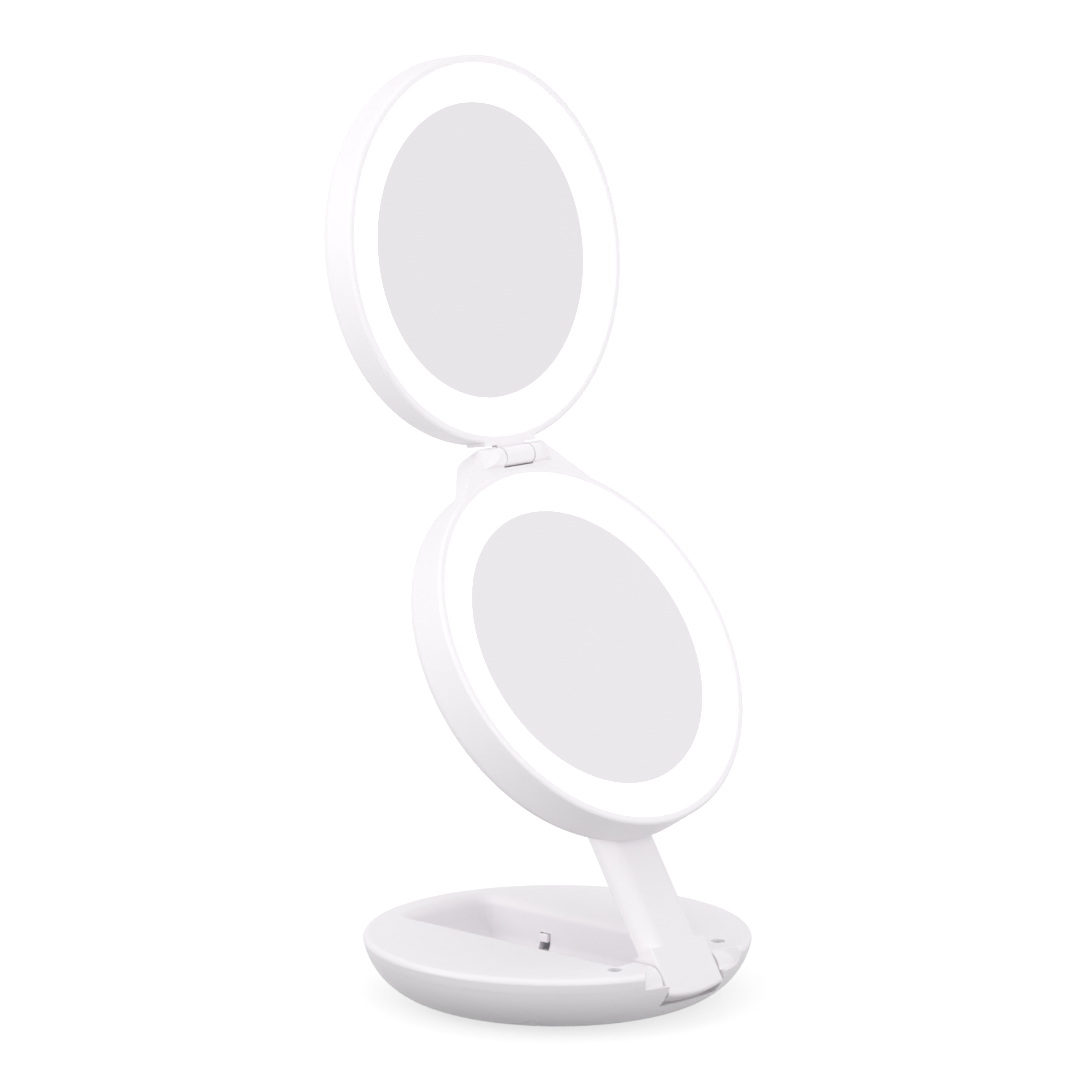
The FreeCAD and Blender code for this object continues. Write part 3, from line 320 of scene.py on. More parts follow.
def grained(name, tint, roughness, ior, drift, grain_mm, relief_mm, drift_mm=30.0):
    """Moulded or cast surface: slow drift of tone and gloss over it, and a fine grain from its mould.

    The real grain is about 0.05 mm wide, too fine to show, so it is drawn at the size that is given.
    """
    made, tree, place = material(name)
    slow = add(tree, "ShaderNodeTexNoise", {"Vector": place, "Scale": per_mm(drift_mm), "Detail": 3.0})
    tone = add(tree, "ShaderNodeMix", {"Factor": slow.outputs["Fac"], "A": rgba(shade(tint, 1 - drift)),
                                       "B": rgba(shade(tint, 1 + drift))}, data_type="RGBA")
    gloss = add(tree, "ShaderNodeMapRange", {"Value": slow.outputs["Fac"],
                                             "To Min": roughness * (1 - GLOSS_DRIFT),
                                             "To Max": roughness * (1 + GLOSS_DRIFT)})
    fine = add(tree, "ShaderNodeTexNoise", {"Vector": place, "Scale": per_mm(grain_mm), "Detail": 2.0})
    bump = add(tree, "ShaderNodeBump", {"Height": fine.outputs["Fac"], "Strength": 1.0,
                                        "Distance": relief_mm * MM})
    shader = add(tree, "ShaderNodeBsdfPrincipled", {"Base Color": tone.outputs["Result"],
                                                    "Roughness": gloss.outputs["Result"],
                                                    "Normal": bump.outputs["Normal"], "IOR": ior})
    return close(made, shader)


def brushed(name, tint, roughness, along, line_mm):
    """Drawn, ground or plated metal: fine lines along one axis that vary its gloss and tone.

    The real lines are about 0.02 mm wide, too fine to show, so they are drawn at the width that is given.
    """
    made, tree, place = material(name)
    stretch = [per_mm(line_mm)] * 3
    stretch["XYZ".index(along)] = per_mm(line_mm * LINE_STRETCH)
    laid = add(tree, "ShaderNodeMapping", {"Vector": place, "Scale": stretch})
    lines = add(tree, "ShaderNodeTexNoise", {"Vector": laid.outputs["Vector"], "Scale": 1.0, "Detail": 4.0})
    tone = add(tree, "ShaderNodeMix", {"Factor": lines.outputs["Fac"], "A": rgba(shade(tint, LINE_DARK)),
                                       "B": rgba(shade(tint, LINE_LIGHT))}, data_type="RGBA")
    gloss = add(tree, "ShaderNodeMapRange", {"Value": lines.outputs["Fac"],
                                             "To Min": roughness * (1 - LINE_GLOSS),
                                             "To Max": roughness * (1 + LINE_GLOSS)})
    shader = add(tree, "ShaderNodeBsdfPrincipled", {"Base Color": tone.outputs["Result"],
                                                    "Roughness": gloss.outputs["Result"], "Metallic": 1.0})
    return close(made, shader)


def wear(finish, *names):
    """Gives nodes or pieces that finish."""
    for name in names:
        item = bpy.data.objects[name]
        item.data.materials.clear()
        item.data.materials.append(finish)


# Modelling

def deselect():
    """Nothing stays selected, so that the next operator acts on its own piece only."""
    bpy.ops.object.select_all(action="DESELECT")


def select(piece):
    """Only that piece is selected and active."""
    deselect()
    piece.select_set(True)
    bpy.context.view_layer.objects.active = piece


def turned(name, rings, segments):
    """Round piece along Z: a disc that is extruded and resized ring by ring, by radius and height."""
    deselect()
    radius, height = rings[0]
    bpy.ops.mesh.primitive_circle_add(vertices=segments, radius=radius, fill_type="NGON",
                                      location=(0, 0, height))
    piece = bpy.context.object
    piece.name = name
    bpy.ops.object.transform_apply()
    bpy.ops.object.mode_set(mode="EDIT")
    for (radius, height), (next_radius, next_height) in zip(rings, rings[1:]):
        bpy.ops.mesh.extrude_region_move(TRANSFORM_OT_translate={"value": (0, 0, next_height - height)})
        share = next_radius / radius
        bpy.ops.transform.resize(value=(share, share, 1), center_override=(0, 0, next_height))
    bpy.ops.mesh.select_all(action="SELECT")
    bpy.ops.mesh.normals_make_consistent(inside=False)
    bpy.ops.object.mode_set(mode="OBJECT")
    return piece


def block(name, low, high):
    """Box between two corners, as an object whose place is in its mesh."""
    deselect()
    middle = (Vector(low) + Vector(high)) / 2
    bpy.ops.mesh.primitive_cube_add(size=1, location=middle)
    piece = bpy.context.object
    piece.name = name
    piece.scale = Vector(high) - Vector(low)
    bpy.ops.object.transform_apply()
    return piece


def finished(piece, kind, **settings):
    """Adds one modifier and applies it."""
    select(piece)
    bpy.ops.object.modifier_add(type=kind)
    modifier = piece.modifiers[-1]
    for name, value in settings.items():
        setattr(modifier, name, value)
    bpy.ops.object.modifier_apply(modifier=modifier.name)
    return piece


def bevelled(piece, width, segments):
    """Rounds the piece's edges."""
    return finished(piece, "BEVEL", width=width, segments=segments, limit_method="ANGLE")


def carved(piece, cutters):
    """Cuts the cutters out of the piece and removes them."""
    for cutter in cutters:
        finished(piece, "BOOLEAN", operation="DIFFERENCE", object=cutter, solver="EXACT")
        bpy.data.objects.remove(cutter)
    return piece


def smooth(piece, degrees=35):
    """Smooth shading, with edges that are sharper than the angle left sharp."""
    select(piece)
    bpy.ops.object.shade_smooth_by_angle(angle=math.radians(degrees))
    return piece


def joined(name, pieces):
    """One object out of several, with its place in its mesh."""
    deselect()
    for piece in pieces:
        piece.select_set(True)
    bpy.context.view_layer.objects.active = pieces[0]
    if len(pieces) > 1:
        bpy.ops.object.join()
    whole = bpy.context.object
    whole.name = name
    whole.data.name = name
    bpy.ops.object.transform_apply()
    return whole


def copies(name, model, places):
    """The model at each place, each copy with its own mesh, as one object."""
    made = []
    for place in places:
        select(model)
        bpy.ops.object.duplicate(linked=False)
        copy = bpy.context.object
        copy.matrix_world = place
        made.append(copy)
    bpy.data.objects.remove(model)
    return joined(name, made)


def settled(piece, body, slot, *replaced):
    """A finished piece rides on its body and stands for its node."""
    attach(piece, body)
    if replaced:
        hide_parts(*replaced)
    return piece


def screw_model(sizes, settings):
    """Pan-head screw with its head's top at zero: crowned rim, cross recess, threads and a blunt point."""
    head_radius, head_height, shank_radius, reach = (size * MM for size in sizes)
    head_share = head_radius / (BASE_SCREW[0] * MM)
    shank_share = shank_radius / (BASE_SCREW[2] * MM)

    pitch = settings.thread_pitch * shank_share
    flank = pitch * 0.3
    lead = pitch * 0.4
    root = shank_radius * 0.8
    point = shank_radius * 0.55
    tip = -head_height - reach
    rings = [(point, tip)]
    for turn in range(int((reach - pitch) / pitch)):
        low = tip + lead + pitch * turn
        rings += [(root, low), (shank_radius, low + flank), (root, low + flank * 2)]

    crown = settings.head_crown * head_share
    bend = crown * ROUND_MIDDLE
    rings += [(root, -head_height), (head_radius, -head_height), (head_radius, -crown),
              (head_radius - bend, -bend), (head_radius - crown, 0)]
    piece = turned("screw_model", rings, settings.segments)

    half = settings.cross_width / 2 * head_share
    arm = head_radius * 0.62
    depth = head_height * 0.7
    cutters = [block("cut_a", (-arm, -half, -depth), (arm, half, depth)),
               block("cut_b", (-half, -arm, -depth), (half, arm, depth))]
    return smooth(carved(piece, cutters))


class ShellFinish(bpy.types.Operator):
    """Satin white ABS on the housings, the arm and the base"""

    bl_idname = "travel_mirror.shells"
    bl_label = "Moulded shells"

    def execute(self, context):
        colours = context.scene.travel_mirror.finish
        # Injection-moulded ABS from a spark-eroded mould: soft satin gloss and even colour
        satin = grained("satin_moulded_abs", colours.shell, roughness=0.4, ior=1.53, drift=0.012,
                        grain_mm=0.4, relief_mm=0.004)
        wear(satin, "base_bowl", "base_top_cover", "battery_lid", "arm", "lower_front_ring",
             "lower_back_cover", "spine_cover", "upper_front_ring", "upper_back_cover")
        return {"FINISHED"}


class OpticsFinish(bpy.types.Operator):
    """Silvered glass, lit opal rings, light trays and LEDs"""

    bl_idname = "travel_mirror.optics"
    bl_label = "Mirrors and lights"

    def execute(self, context):
        colours = context.scene.travel_mirror.finish
        # Float glass silvered on its back: a clean mirror with the faint unevenness that wiping leaves. The
        # lower glass's tint is a little lighter than the upper's: a painted reflection, standing in for the
        # brighter reflection that the lower mirror shows
        wipe_mm = 25.0
        wipe_tone = 0.005
        for disc, tint in (("upper", colours.silver_upper), ("lower", colours.silver_lower)):
            made, tree, place = material(f"silvered_float_glass_{disc}")
            wiped = add(tree, "ShaderNodeTexNoise", {"Vector": place, "Scale": per_mm(wipe_mm),
                                                     "Detail": 3.0})
            gloss = add(tree, "ShaderNodeMapRange", {"Value": wiped.outputs["Fac"],
                                                     "To Min": 0.01, "To Max": 0.03})
            tone = add(tree, "ShaderNodeMix", {"Factor": wiped.outputs["Fac"],
                                               "A": rgba(shade(tint, 1 - wipe_tone)),
                                               "B": rgba(shade(tint, 1 + wipe_tone))}, data_type="RGBA")
            glass = add(tree, "ShaderNodeBsdfPrincipled", {"Base Color": tone.outputs["Result"],
                                                           "Roughness": gloss.outputs["Result"],
                                                           "Metallic": 1.0})
            wear(close(made, glass), f"{disc}_mirror_glass")

        # Opal cast acrylic lit from behind: milky white, smooth, with a slight cloudiness in its glow
        cloud_mm = 8.0
        cloud_glow = 0.03
        made, tree, place = material("lit_opal_acrylic")
        cloud = add(tree, "ShaderNodeTexNoise", {"Vector": place, "Scale": per_mm(cloud_mm), "Detail": 2.0})
        glow = add(tree, "ShaderNodeMapRange", {"Value": cloud.outputs["Fac"],
                                                "To Min": colours.glow * (1 - cloud_glow),
                                                "To Max": colours.glow * (1 + cloud_glow)})
        opal = add(tree, "ShaderNodeBsdfPrincipled", {"Base Color": rgba(colours.opal), "Roughness": 0.3,
                                                      "IOR": 1.49, "Emission Color": rgba(colours.opal),
                                                      "Emission Strength": glow.outputs["Result"]})
        wear(close(made, opal), "lower_diffuser", "upper_diffuser")

        # ABS from a polished mould: bright glossy white that throws the light forward
        tray = grained("glossy_reflector_abs", colours.tray, roughness=0.25, ior=1.53, drift=0.01,
                       grain_mm=0.6, relief_mm=0.002)
        wear(tray, "lower_light_tray", "upper_light_tray")
        # White solder mask on a fibreglass board: half glossy, a little warm, uneven over its copper
        board = grained("white_solder_mask_board", colours.led_board, roughness=0.35, ior=1.5, drift=0.03,
                        grain_mm=0.5, relief_mm=0.004, drift_mm=6.0)
        wear(board, "lower_led_board", "upper_led_board")
        # Phosphor in cast silicone: waxy yellow, cloudy inside each small package
        phosphor = grained("phosphor_led_package", colours.led, roughness=0.3, ior=1.45, drift=0.05,
                           grain_mm=0.3, relief_mm=0.006, drift_mm=2.0)
        wear(phosphor, "lower_leds", "upper_leds")
        return {"FINISHED"}


class MetalFinish(bpy.types.Operator):
    """Steel pins, stop bar and leaf spring, and nylon washers"""

    bl_idname = "travel_mirror.metalwork"
    bl_label = "Pins, springs and washers"

    def execute(self, context):
        colours = context.scene.travel_mirror.finish
        # Drawn and ground steel: mid grey, half bright, with fine lines along the bar
        ground = brushed("ground_steel", colours.steel, roughness=0.3, along="X", line_mm=0.3)
        wear(ground, "arm_hinge_pin", "mirror_hinge_pin", "arm_stop_bar")
        # Cold-rolled spring steel: bright and slightly warm, with the roll's lines along the leaf
        rolled = brushed("rolled_spring_steel", colours.spring, roughness=0.32, along="Y", line_mm=0.4)
        wear(rolled, "slide_leaf_spring")
        # Natural nylon, moulded: creamy, half matt and slightly waxy
        nylon = grained("moulded_nylon", colours.nylon, roughness=0.45, ior=1.53, drift=0.03,
                        grain_mm=0.4, relief_mm=0.006, drift_mm=4.0)
        wear(nylon, "arm_hinge_washers", "mirror_hinge_washers")
        return {"FINISHED"}


class ElectricsFinish(bpy.types.Operator):
    """Circuit board, components, flat cable and switch housing"""

    bl_idname = "travel_mirror.electrics"
    bl_label = "Board, cable and switch"

    def execute(self, context):
        colours = context.scene.travel_mirror.finish
        # Green solder mask over copper: half glossy, lighter and darker where the tracks lie under it
        board = grained("green_solder_mask_board", colours.board, roughness=0.35, ior=1.5, drift=0.15,
                        grain_mm=0.6, relief_mm=0.01, drift_mm=3.0)
        wear(board, "base_circuit_board")
        # Moulded epoxy of the components: near black and half matt
        epoxy = grained("black_epoxy", colours.chip, roughness=0.5, ior=1.55, drift=0.1,
                        grain_mm=0.2, relief_mm=0.008, drift_mm=2.0)
        wear(epoxy, "base_board_components")
        # Glass-filled PBT, moulded: half matt, with a slight cloudiness. Its pale grey is lighter than the
        # part's own tone: painted fill light that keeps the switch's slot, which lies in shade, grey rather
        # than dark
        housing = grained("pbt_lightened_against_slot_shade", colours.switch, roughness=0.45, ior=1.55, drift=0.08,
                          grain_mm=0.3, relief_mm=0.006, drift_mm=3.0)
        wear(housing, "switch_body")
        # Flat cable in PVC: its wires show as soft ridges. They lie 1 mm apart, too fine to show, so the
        # ridges are drawn 6.3 mm apart. The wave itself runs through 20 radians in one unit
        ridge_mm = math.tau
        wave_radians = 20
        made, tree, place = material("ribbed_pvc_cable")
        wires = add(tree, "ShaderNodeTexWave", {"Vector": place,
                                                "Scale": per_mm(ridge_mm) * math.tau / wave_radians},
                    bands_direction="X")
        bump = add(tree, "ShaderNodeBump", {"Height": wires.outputs["Fac"], "Distance": 0.15 * MM})
        cable = add(tree, "ShaderNodeBsdfPrincipled", {"Base Color": rgba(colours.cable), "IOR": 1.53,
                                                       "Roughness": 0.4, "Normal": bump.outputs["Normal"]})
        wear(close(made, cable), "arm_ribbon_cable")
        return {"FINISHED"}


class Screws(bpy.types.Operator):
    """Pan-head screws with cross recesses in the base, the hinge, the discs and the spine"""

    bl_idname = "travel_mirror.screws"
    bl_label = "Screws"

    def execute(self, context):
        settings = context.scene.travel_mirror
        # Zinc-plated steel: bluish grey, half bright
        zinc = brushed("zinc_plated_steel", settings.finish.zinc, roughness=0.34, along="Z", line_mm=0.5)
        base = [place @ FACE_DOWN for place in both_sides(BASE_SCREW_SPOTS, BASE_SCREW_SEAT)]
        hinge = both_sides(HINGE_SCREW_SPOTS, HINGE_SCREW_SEAT)
        lower = [LOWER_FRAME @ place @ FACE_DOWN for place in both_sides(DISC_SCREW_SPOTS, LOWER_SCREW_SEAT)]
        upper = [UPPER_FRAME @ place @ FACE_DOWN for place in both_sides(DISC_SCREW_SPOTS, UPPER_SCREW_SEAT)]
        spine = [LOWER_FRAME @ place @ FACE_DOWN for place in both_sides(SPINE_SCREW_SPOTS, SPINE_SCREW_SEAT)]
        for node, body, sizes, places in (("base_screws", "base", BASE_SCREW, base),
                                          ("hinge_screws", "base", HINGE_SCREW, hinge),
                                          ("lower_disc_screws", "lower_mirror", DISC_SCREW, lower),
                                          ("upper_disc_screws", "upper_mirror", DISC_SCREW, upper),
                                          ("spine_cover_screws", "lower_mirror", SPINE_SCREW, spine)):
            model = screw_model(sizes, settings.fitting)
            piece = copies(node.replace("screws", "cross_screws"), model, places)
            wear(zinc, piece.name)
            settled(piece, body, "zinc_screw", node)
        return {"FINISHED"}


class Cells(bpy.types.Operator):
    """Four small round cells: shrink sleeve, steel ends and positive nub"""

    bl_idname = "travel_mirror.cells"
    bl_label = "Battery cells"

    def sleeve(self, colours):
        """Finish of the cells, by the zone that each face is marked with."""
        # Printed shrink sleeve on a steel can: dark gloss, a paler band at the positive end, bare steel ends
        film_mm = 3.0
        made, tree, place = material("shrink_sleeved_cell")
        zone = add(tree, "ShaderNodeAttribute", attribute_name="cell_zone")
        band = add(tree, "ShaderNodeMath", {0: zone.outputs["Fac"], 1: (SLEEVE + BAND) / 2},
                   operation="GREATER_THAN")
        bare = add(tree, "ShaderNodeMath", {0: zone.outputs["Fac"], 1: (BAND + BARE) / 2},
                   operation="GREATER_THAN")
        print_tone = add(tree, "ShaderNodeMix", {"Factor": band.outputs[0], "A": rgba(colours.jacket),
                                                 "B": rgba(colours.jacket_band)}, data_type="RGBA")
        tone = add(tree, "ShaderNodeMix", {"Factor": bare.outputs[0], "A": print_tone.outputs["Result"],
                                           "B": rgba(colours.steel)}, data_type="RGBA")
        film = add(tree, "ShaderNodeTexNoise", {"Vector": place, "Scale": per_mm(film_mm), "Detail": 3.0})
        gloss = add(tree, "ShaderNodeMapRange", {"Value": film.outputs["Fac"],
                                                 "To Min": 0.22, "To Max": 0.34})
        shader = add(tree, "ShaderNodeBsdfPrincipled", {"Base Color": tone.outputs["Result"],
                                                        "Roughness": gloss.outputs["Result"],
                                                        "Metallic": bare.outputs[0]})
        return close(made, shader)

    def execute(self, context):
        settings = context.scene.travel_mirror
        # The bare ends lie sunk in the sleeve. The flat end's rings are set in from the can's side, and the
        # nub's have their own radii
        step = settings.fitting.sleeve_step
        sunk = 0.15 * MM
        flat_middle = 1.6 * MM
        flat_edge = 0.9 * MM
        flat_groove = 0.5 * MM
        nub_foot = 2.3 * MM
        nub_low = 1.9 * MM
        nub_high = 1.85 * MM
        nub_flat = 1.5 * MM
        nub_round = 0.3 * MM
        band_share = 0.74
        sleeve = self.sleeve(settings.finish)
        for number in range(1, CELL_COUNT + 1):
            node = f"battery_cell_{number}"
            low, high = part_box(node)
            radius = (high.x - low.x) / 2
            nub_top = high.y - low.y
            top = nub_top - CELL_NUB * MM
            band_start = top * band_share
            rings = [(radius - flat_middle, 0), (radius - flat_edge, 0), (radius - flat_groove, sunk),
                     (radius - step * 3, sunk), (radius - step * 2, 0), (radius, step),
                     (radius, band_start), (radius, top - step), (radius - step * 2, top),
                     (radius - step * 3, top - sunk), (nub_foot, top - sunk), (nub_low, top),
                     (nub_high, nub_top - nub_round), (nub_flat, nub_top)]
            cell = smooth(turned(f"sleeved_cell_{number}", rings, settings.fitting.segments))
            paint = cell.data.attributes.new("cell_zone", "FLOAT", "FACE")
            for face in cell.data.polygons:
                sleeved = face.center.xy.length > radius - step * 2.5
                printed = BAND if face.center.z > band_start else SLEEVE
                paint.data[face.index].value = printed if sleeved else BARE
            back = nub_at_back(number)
            foot = Vector(((low.x + high.x) / 2, low.y if back else high.y, (low.z + high.z) / 2))
            cell.matrix_world = Matrix.Translation(foot) @ facing(1 if back else -1)
            joined(cell.name, [cell])
            wear(sleeve, cell.name)
            settled(cell, "base", "cell_jacket", node)
        return {"FINISHED"}


class Contacts(bpy.types.Operator):
    """Battery contacts: bevelled plates with coil springs for the flat ends and dimples for the nubs"""

    bl_idname = "travel_mirror.contacts"
    bl_label = "Battery contacts"

    def coil(self, fitting, reach):
        """Flattened cone of spring wire along Z, with closed ends."""
        wire = fitting.spring_wire / 2
        wire_sides = 8
        turns = fitting.spring_turns
        steps = turns * 24
        taper = 0.45
        deselect()
        bpy.ops.mesh.primitive_circle_add(vertices=wire_sides, radius=wire, rotation=(math.pi / 2, 0, 0),
                                          location=(fitting.spring_radius, 0, wire))
        piece = bpy.context.object
        bpy.ops.object.transform_apply()
        finished(piece, "SCREW", angle=turns * 2 * math.pi, screw_offset=reach - 2 * wire, iterations=1,
                 steps=steps, render_steps=steps)
        bpy.ops.object.mode_set(mode="EDIT")
        bpy.ops.mesh.select_all(action="SELECT")
        bpy.ops.mesh.fill_holes(sides=0)
        bpy.ops.mesh.select_all(action="SELECT")
        bpy.ops.mesh.normals_make_consistent(inside=False)
        bpy.ops.object.mode_set(mode="OBJECT")
        for vertex in piece.data.vertices:
            vertex.co.xy *= 1 - taper * vertex.co.z / reach
        return piece

    def execute(self, context):
        settings = context.scene.travel_mirror
        fitting = settings.fitting
        plate_thick = CONTACT_PLATE * MM
        plate_round = 0.12 * MM
        # Nickel-plated spring steel, rolled: bright, with fine lines along the strip
        nickel = brushed("nickel_plated_spring_steel", settings.finish.spring, roughness=0.28, along="X",
                         line_mm=0.3)
        for node, end in (("front_battery_contacts", 1), ("back_battery_contacts", -1)):
            low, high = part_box(node)
            wall = low.y if end == 1 else high.y
            face = wall + end * plate_thick
            reach = high.y - low.y - plate_thick
            pieces = []
            spans = []
            for number in range(1, CELL_COUNT + 1):
                cell_low, cell_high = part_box(f"battery_cell_{number}")
                across = (cell_low.x + cell_high.x) / 2
                spans.append(across)
                if nub_at_back(number) == (end == -1):
                    rings = [(radius * MM, reach * share) for radius, share in CONTACT_DIMPLE]
                    touch = turned("contact_dimple", rings, fitting.segments)
                else:
                    touch = self.coil(fitting, reach)
                touch.matrix_world = Matrix.Translation((across, face, (low.z + high.z) / 2)) @ facing(end)
                pieces.append(smooth(touch, degrees=60))
            spans.sort()
            half = (high.z - low.z) / 2
            # At the front a strip joins the two cells of a side, at the back each cell has its own plate
            strips = [spans[:2], spans[2:]] if end == 1 else [[across] for across in spans]
            for strip in strips:
                plate = block("contact_plate", (strip[0] - half, min(wall, face), low.z),
                              (strip[-1] + half, max(wall, face), high.z))
                pieces.append(smooth(bevelled(plate, plate_round, segments=2)))
            piece = joined(node.replace("battery", "spring"), pieces)
            wear(nickel, piece.name)
            settled(piece, "base", "spring_steel", node)
        return {"FINISHED"}


class LidGrip(bpy.types.Operator):
    """Grip ribs under the battery lid, near the edge that opens"""

    bl_idname = "travel_mirror.lid_grip"
    bl_label = "Lid grip"

    def execute(self, context):
        fitting = context.scene.travel_mirror.fitting
        low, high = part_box("battery_lid")
        half = fitting.grip_length / 2
        thick = fitting.grip_height
        rib_round = thick * 0.8
        rib = block("grip_rib", (-half, -thick, low.z - thick), (half, thick, low.z + thick))
        bevelled(rib, rib_round, segments=4)
        first = high.y - fitting.grip_edge
        places = [Matrix.Translation((0, first - fitting.grip_pitch * row, 0)) for row in range(GRIP_ROWS)]
        ribs = copies("lid_grip_ribs", smooth(rib), places)
        wear(bpy.data.materials["satin_moulded_abs"], ribs.name)
        settled(ribs, "battery_lid", "white_abs")
        return {"FINISHED"}


class Feet(bpy.types.Operator):
    """Rubber feet with a rounded rim and grip grooves"""

    bl_idname = "travel_mirror.feet"
    bl_label = "Rubber feet"

    def execute(self, context):
        settings = context.scene.travel_mirror
        low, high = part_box("rubber_feet")
        tall = high.z - low.z
        radius = FOOT_RADIUS * MM
        curve = settings.fitting.foot_round
        bend = curve * ROUND_MIDDLE
        rings = [(radius, tall), (radius, curve), (radius - bend, bend), (radius - curve, 0)]
        groove = settings.fitting.foot_groove
        groove_side = 0.1 * MM
        groove_width = 0.5 * MM
        for edge in FOOT_GROOVES:
            outer = edge * MM
            inner = outer - groove_width
            rings += [(outer, 0), (outer - groove_side, groove), (inner + groove_side, groove), (inner, 0)]
        model = smooth(turned("foot_model", rings, settings.fitting.segments), degrees=30)
        feet = copies("grooved_feet", model, both_sides(FOOT_SPOTS, 0))
        # Moulded thermoplastic rubber: matt, with a fine dry grain
        rubber = grained("moulded_rubber", settings.finish.rubber, roughness=0.8, ior=1.5, drift=0.06,
                         grain_mm=0.25, relief_mm=0.02, drift_mm=3.0)
        wear(rubber, feet.name)
        settled(feet, "base", "grey_rubber", "rubber_feet")
        return {"FINISHED"}


class SwitchKnob(bpy.types.Operator):
    """Slide switch's knob: rounded cap with ribs, on its slider"""

    bl_idname = "travel_mirror.switch_knob"
    bl_label = "Switch knob"

    def execute(self, context):
        settings = context.scene.travel_mirror
        low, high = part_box("switch_knob")
        inner = high.x - KNOB_SLIDER * MM
        half = KNOB_CAP_HALF * MM
        middle = (low.y + high.y) / 2
        overlap = 0.2 * MM
        cap = block("knob_cap", (low.x, middle - half, low.z), (inner + overlap, middle + half, high.z))
        bevelled(cap, settings.fitting.knob_round, segments=3)
        depth = settings.fitting.rib_depth
        pitch = (high.z - low.z) / KNOB_RIBS
        groove_half = pitch * 0.22
        valleys = [low.z + pitch * rib for rib in range(1, KNOB_RIBS)]
        carved(cap, [block("rib_cut", (low.x - depth, low.y, valley - groove_half),
                           (low.x + depth, high.y, valley + groove_half)) for valley in valleys])
        slider = block("knob_slider", (inner, low.y, low.z), (high.x, high.y, high.z))
        bevelled(slider, settings.fitting.knob_round, segments=2)
        knob = smooth(joined("ribbed_knob", [cap, slider]))
        # Moulded acetal: smooth and slightly waxy. Its white is partly the knob's own and partly painted
        # light: set paler than the shells' to offset the shade of the recess it sits in
        acetal = grained("acetal_lightened_against_recess_shade", settings.finish.knob, roughness=0.32, ior=1.48, drift=0.02,
                         grain_mm=0.3, relief_mm=0.004, drift_mm=2.0)
        wear(acetal, knob.name)
        settled(knob, "switch_knob", "switch_cap", "switch_knob")
        return {"FINISHED"}


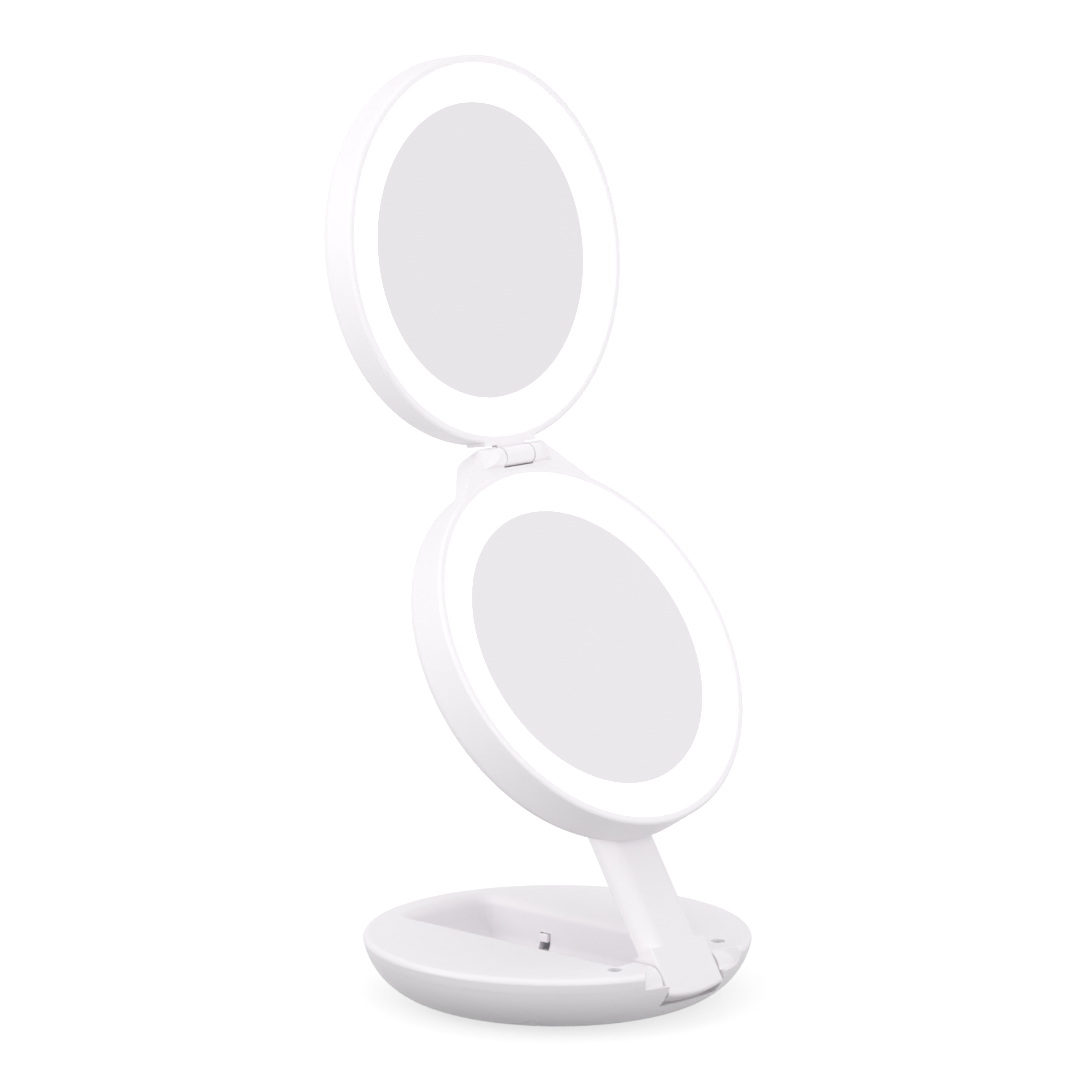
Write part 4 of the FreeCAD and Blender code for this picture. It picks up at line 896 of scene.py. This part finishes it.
class Stage(bpy.types.Operator):
    """Pale floor, soft lamps and the photograph's camera"""

    bl_idname = "travel_mirror.stage"
    bl_label = "Studio stage"

    def lay_floor(self, stage):
        """Paper floor just under the feet."""
        floor_size = 60
        floor_gap = 0.02 * MM
        fibre_mm = 2.0
        fibre_relief = 0.01 * MM
        deselect()
        bpy.ops.mesh.primitive_plane_add(size=floor_size, location=(0, 0, -floor_gap))
        floor = bpy.context.object
        floor.name = "paper_floor"
        # Matt paper under studio light: white to the eye and in reflections, and it keeps the soft shadow.
        # It throws back more light further out, and so lights the discs from below but not the bowl
        made, tree, place = material("matt_studio_paper")
        fibre = add(tree, "ShaderNodeTexNoise", {"Vector": place, "Scale": per_mm(fibre_mm), "Detail": 4.0})
        bump = add(tree, "ShaderNodeBump", {"Height": fibre.outputs["Fac"], "Distance": fibre_relief})
        radius = add(tree, "ShaderNodeVectorMath", {0: place}, operation="LENGTH")
        outward = add(tree, "ShaderNodeMapRange", {"Value": radius.outputs["Value"],
                                                   "From Min": stage.floor_near,
                                                   "From Max": stage.floor_far},
                      interpolation_type="SMOOTHSTEP")
        tone = add(tree, "ShaderNodeMix", {"Factor": outward.outputs["Result"], "A": rgba(stage.floor),
                                           "B": rgba(stage.far_floor)}, data_type="RGBA")
        lift = add(tree, "ShaderNodeMapRange", {"Value": outward.outputs["Result"], "To Min": stage.lift,
                                                "To Max": stage.far_lift})
        paper = add(tree, "ShaderNodeBsdfDiffuse", {"Color": tone.outputs["Result"],
                                                   "Normal": bump.outputs["Normal"]})
        path = add(tree, "ShaderNodeLightPath").outputs
        glow = add(tree, "ShaderNodeEmission", {"Color": WHITE, "Strength": lift.outputs["Result"]})
        lifted = add(tree, "ShaderNodeAddShader", {0: paper.outputs[0], 1: glow.outputs[0]})
        seen = add(tree, "ShaderNodeMixShader", {0: path["Is Camera Ray"], 1: paper.outputs[0],
                                                 2: lifted.outputs[0]})
        white = add(tree, "ShaderNodeEmission", {"Color": WHITE, "Strength": 1.0})
        mirrored = add(tree, "ShaderNodeMath", {0: path["Is Glossy Ray"], 1: path["Is Transmission Ray"]},
                       operation="MAXIMUM")
        whole = add(tree, "ShaderNodeMixShader", {0: mirrored.outputs[0], 1: seen.outputs[0],
                                                  2: white.outputs[0]})
        wear(close(made, whole), floor.name)

    def spread_sky(self, stage, scene):
        """Even light from all round, which is white to the eye and in reflections."""
        world = bpy.data.worlds.new("even_sky")
        scene.world = world
        world.use_nodes = True
        tree = world.node_tree
        tree.nodes.clear()
        path = add(tree, "ShaderNodeLightPath").outputs
        direct = add(tree, "ShaderNodeMath", {0: path["Is Camera Ray"], 1: path["Is Glossy Ray"]},
                     operation="MAXIMUM")
        seen = add(tree, "ShaderNodeMath", {0: direct.outputs[0], 1: path["Is Transmission Ray"]},
                   operation="MAXIMUM")
        level = add(tree, "ShaderNodeMapRange", {"Value": seen.outputs[0], "To Min": stage.sky,
                                                 "To Max": 1.0})
        sky = add(tree, "ShaderNodeBackground", {"Color": WHITE, "Strength": level.outputs["Result"]})
        add(tree, "ShaderNodeOutputWorld", {"Surface": sky.outputs[0]})

    def execute(self, context):
        stage = context.scene.travel_mirror.stage
        self.lay_floor(stage)
        self.spread_sky(stage, context.scene)
        middle = Vector(stage.target)

        lamp_size = 1.1
        for name, place, power in (("side_lamp", (-1.6, 0.8, 0.9), stage.side_power),
                                   ("front_lamp", (-0.6, -1.9, 0.45), stage.front_power),
                                   ("top_lamp", (0.0, 0.0, 2.3), stage.top_power)):
            lamp = bpy.data.objects.new(name, bpy.data.lights.new(name, "AREA"))
            context.scene.collection.objects.link(lamp)
            lamp.data.size = lamp_size
            lamp.data.energy = power
            lamp.location = place
            lamp.rotation_euler = (Vector(place) - middle).to_track_quat("Z", "Y").to_euler()

        camera = bpy.data.objects.new("photo_camera", bpy.data.cameras.new("photo_camera"))
        context.scene.collection.objects.link(camera)
        camera.data.lens = stage.lens
        camera.data.sensor_width = 36.0
        camera.data.clip_end = 100.0
        across = math.cos(stage.elevation)
        away = Vector((-math.sin(stage.azimuth) * across, -math.cos(stage.azimuth) * across,
                       math.sin(stage.elevation)))
        camera.location = middle + away * stage.distance
        camera.rotation_euler = away.to_track_quat("Z", "Y").to_euler()
        context.scene.camera = camera
        context.scene.view_settings.view_transform = "Standard"
        return {"FINISHED"}


class MirrorPanel(bpy.types.Panel):
    """Lists the steps and the settings"""

    bl_idname = "VIEW3D_PT_travel_mirror"
    bl_label = "Travel Mirror"
    bl_space_type = "VIEW_3D"
    bl_region_type = "UI"
    bl_category = "Travel Mirror"

    def draw(self, context):
        for step in STEPS:
            self.layout.operator(step.bl_idname)
        settings = context.scene.travel_mirror
        for group in (settings.finish, settings.fitting, settings.stage):
            box = self.layout.box()
            for name in group.__annotations__:
                box.prop(group, name)


STEPS = (ShellFinish, OpticsFinish, MetalFinish, ElectricsFinish, Screws, Cells, Contacts, Feet,
         SwitchKnob, LidGrip, Stage)
CLASSES = (FinishSettings, FittingSettings, StageSettings, MirrorSettings, *STEPS, MirrorPanel)


def register():
    for made in CLASSES:
        bpy.utils.register_class(made)
    bpy.types.Scene.travel_mirror = PointerProperty(type=MirrorSettings)


def unregister():
    del bpy.types.Scene.travel_mirror
    for made in reversed(CLASSES):
        bpy.utils.unregister_class(made)


def main():
    register()
    for step in STEPS:
        group, name = step.bl_idname.split(".")
        getattr(getattr(bpy.ops, group), name)()


if __name__ == "__main__":
    main()
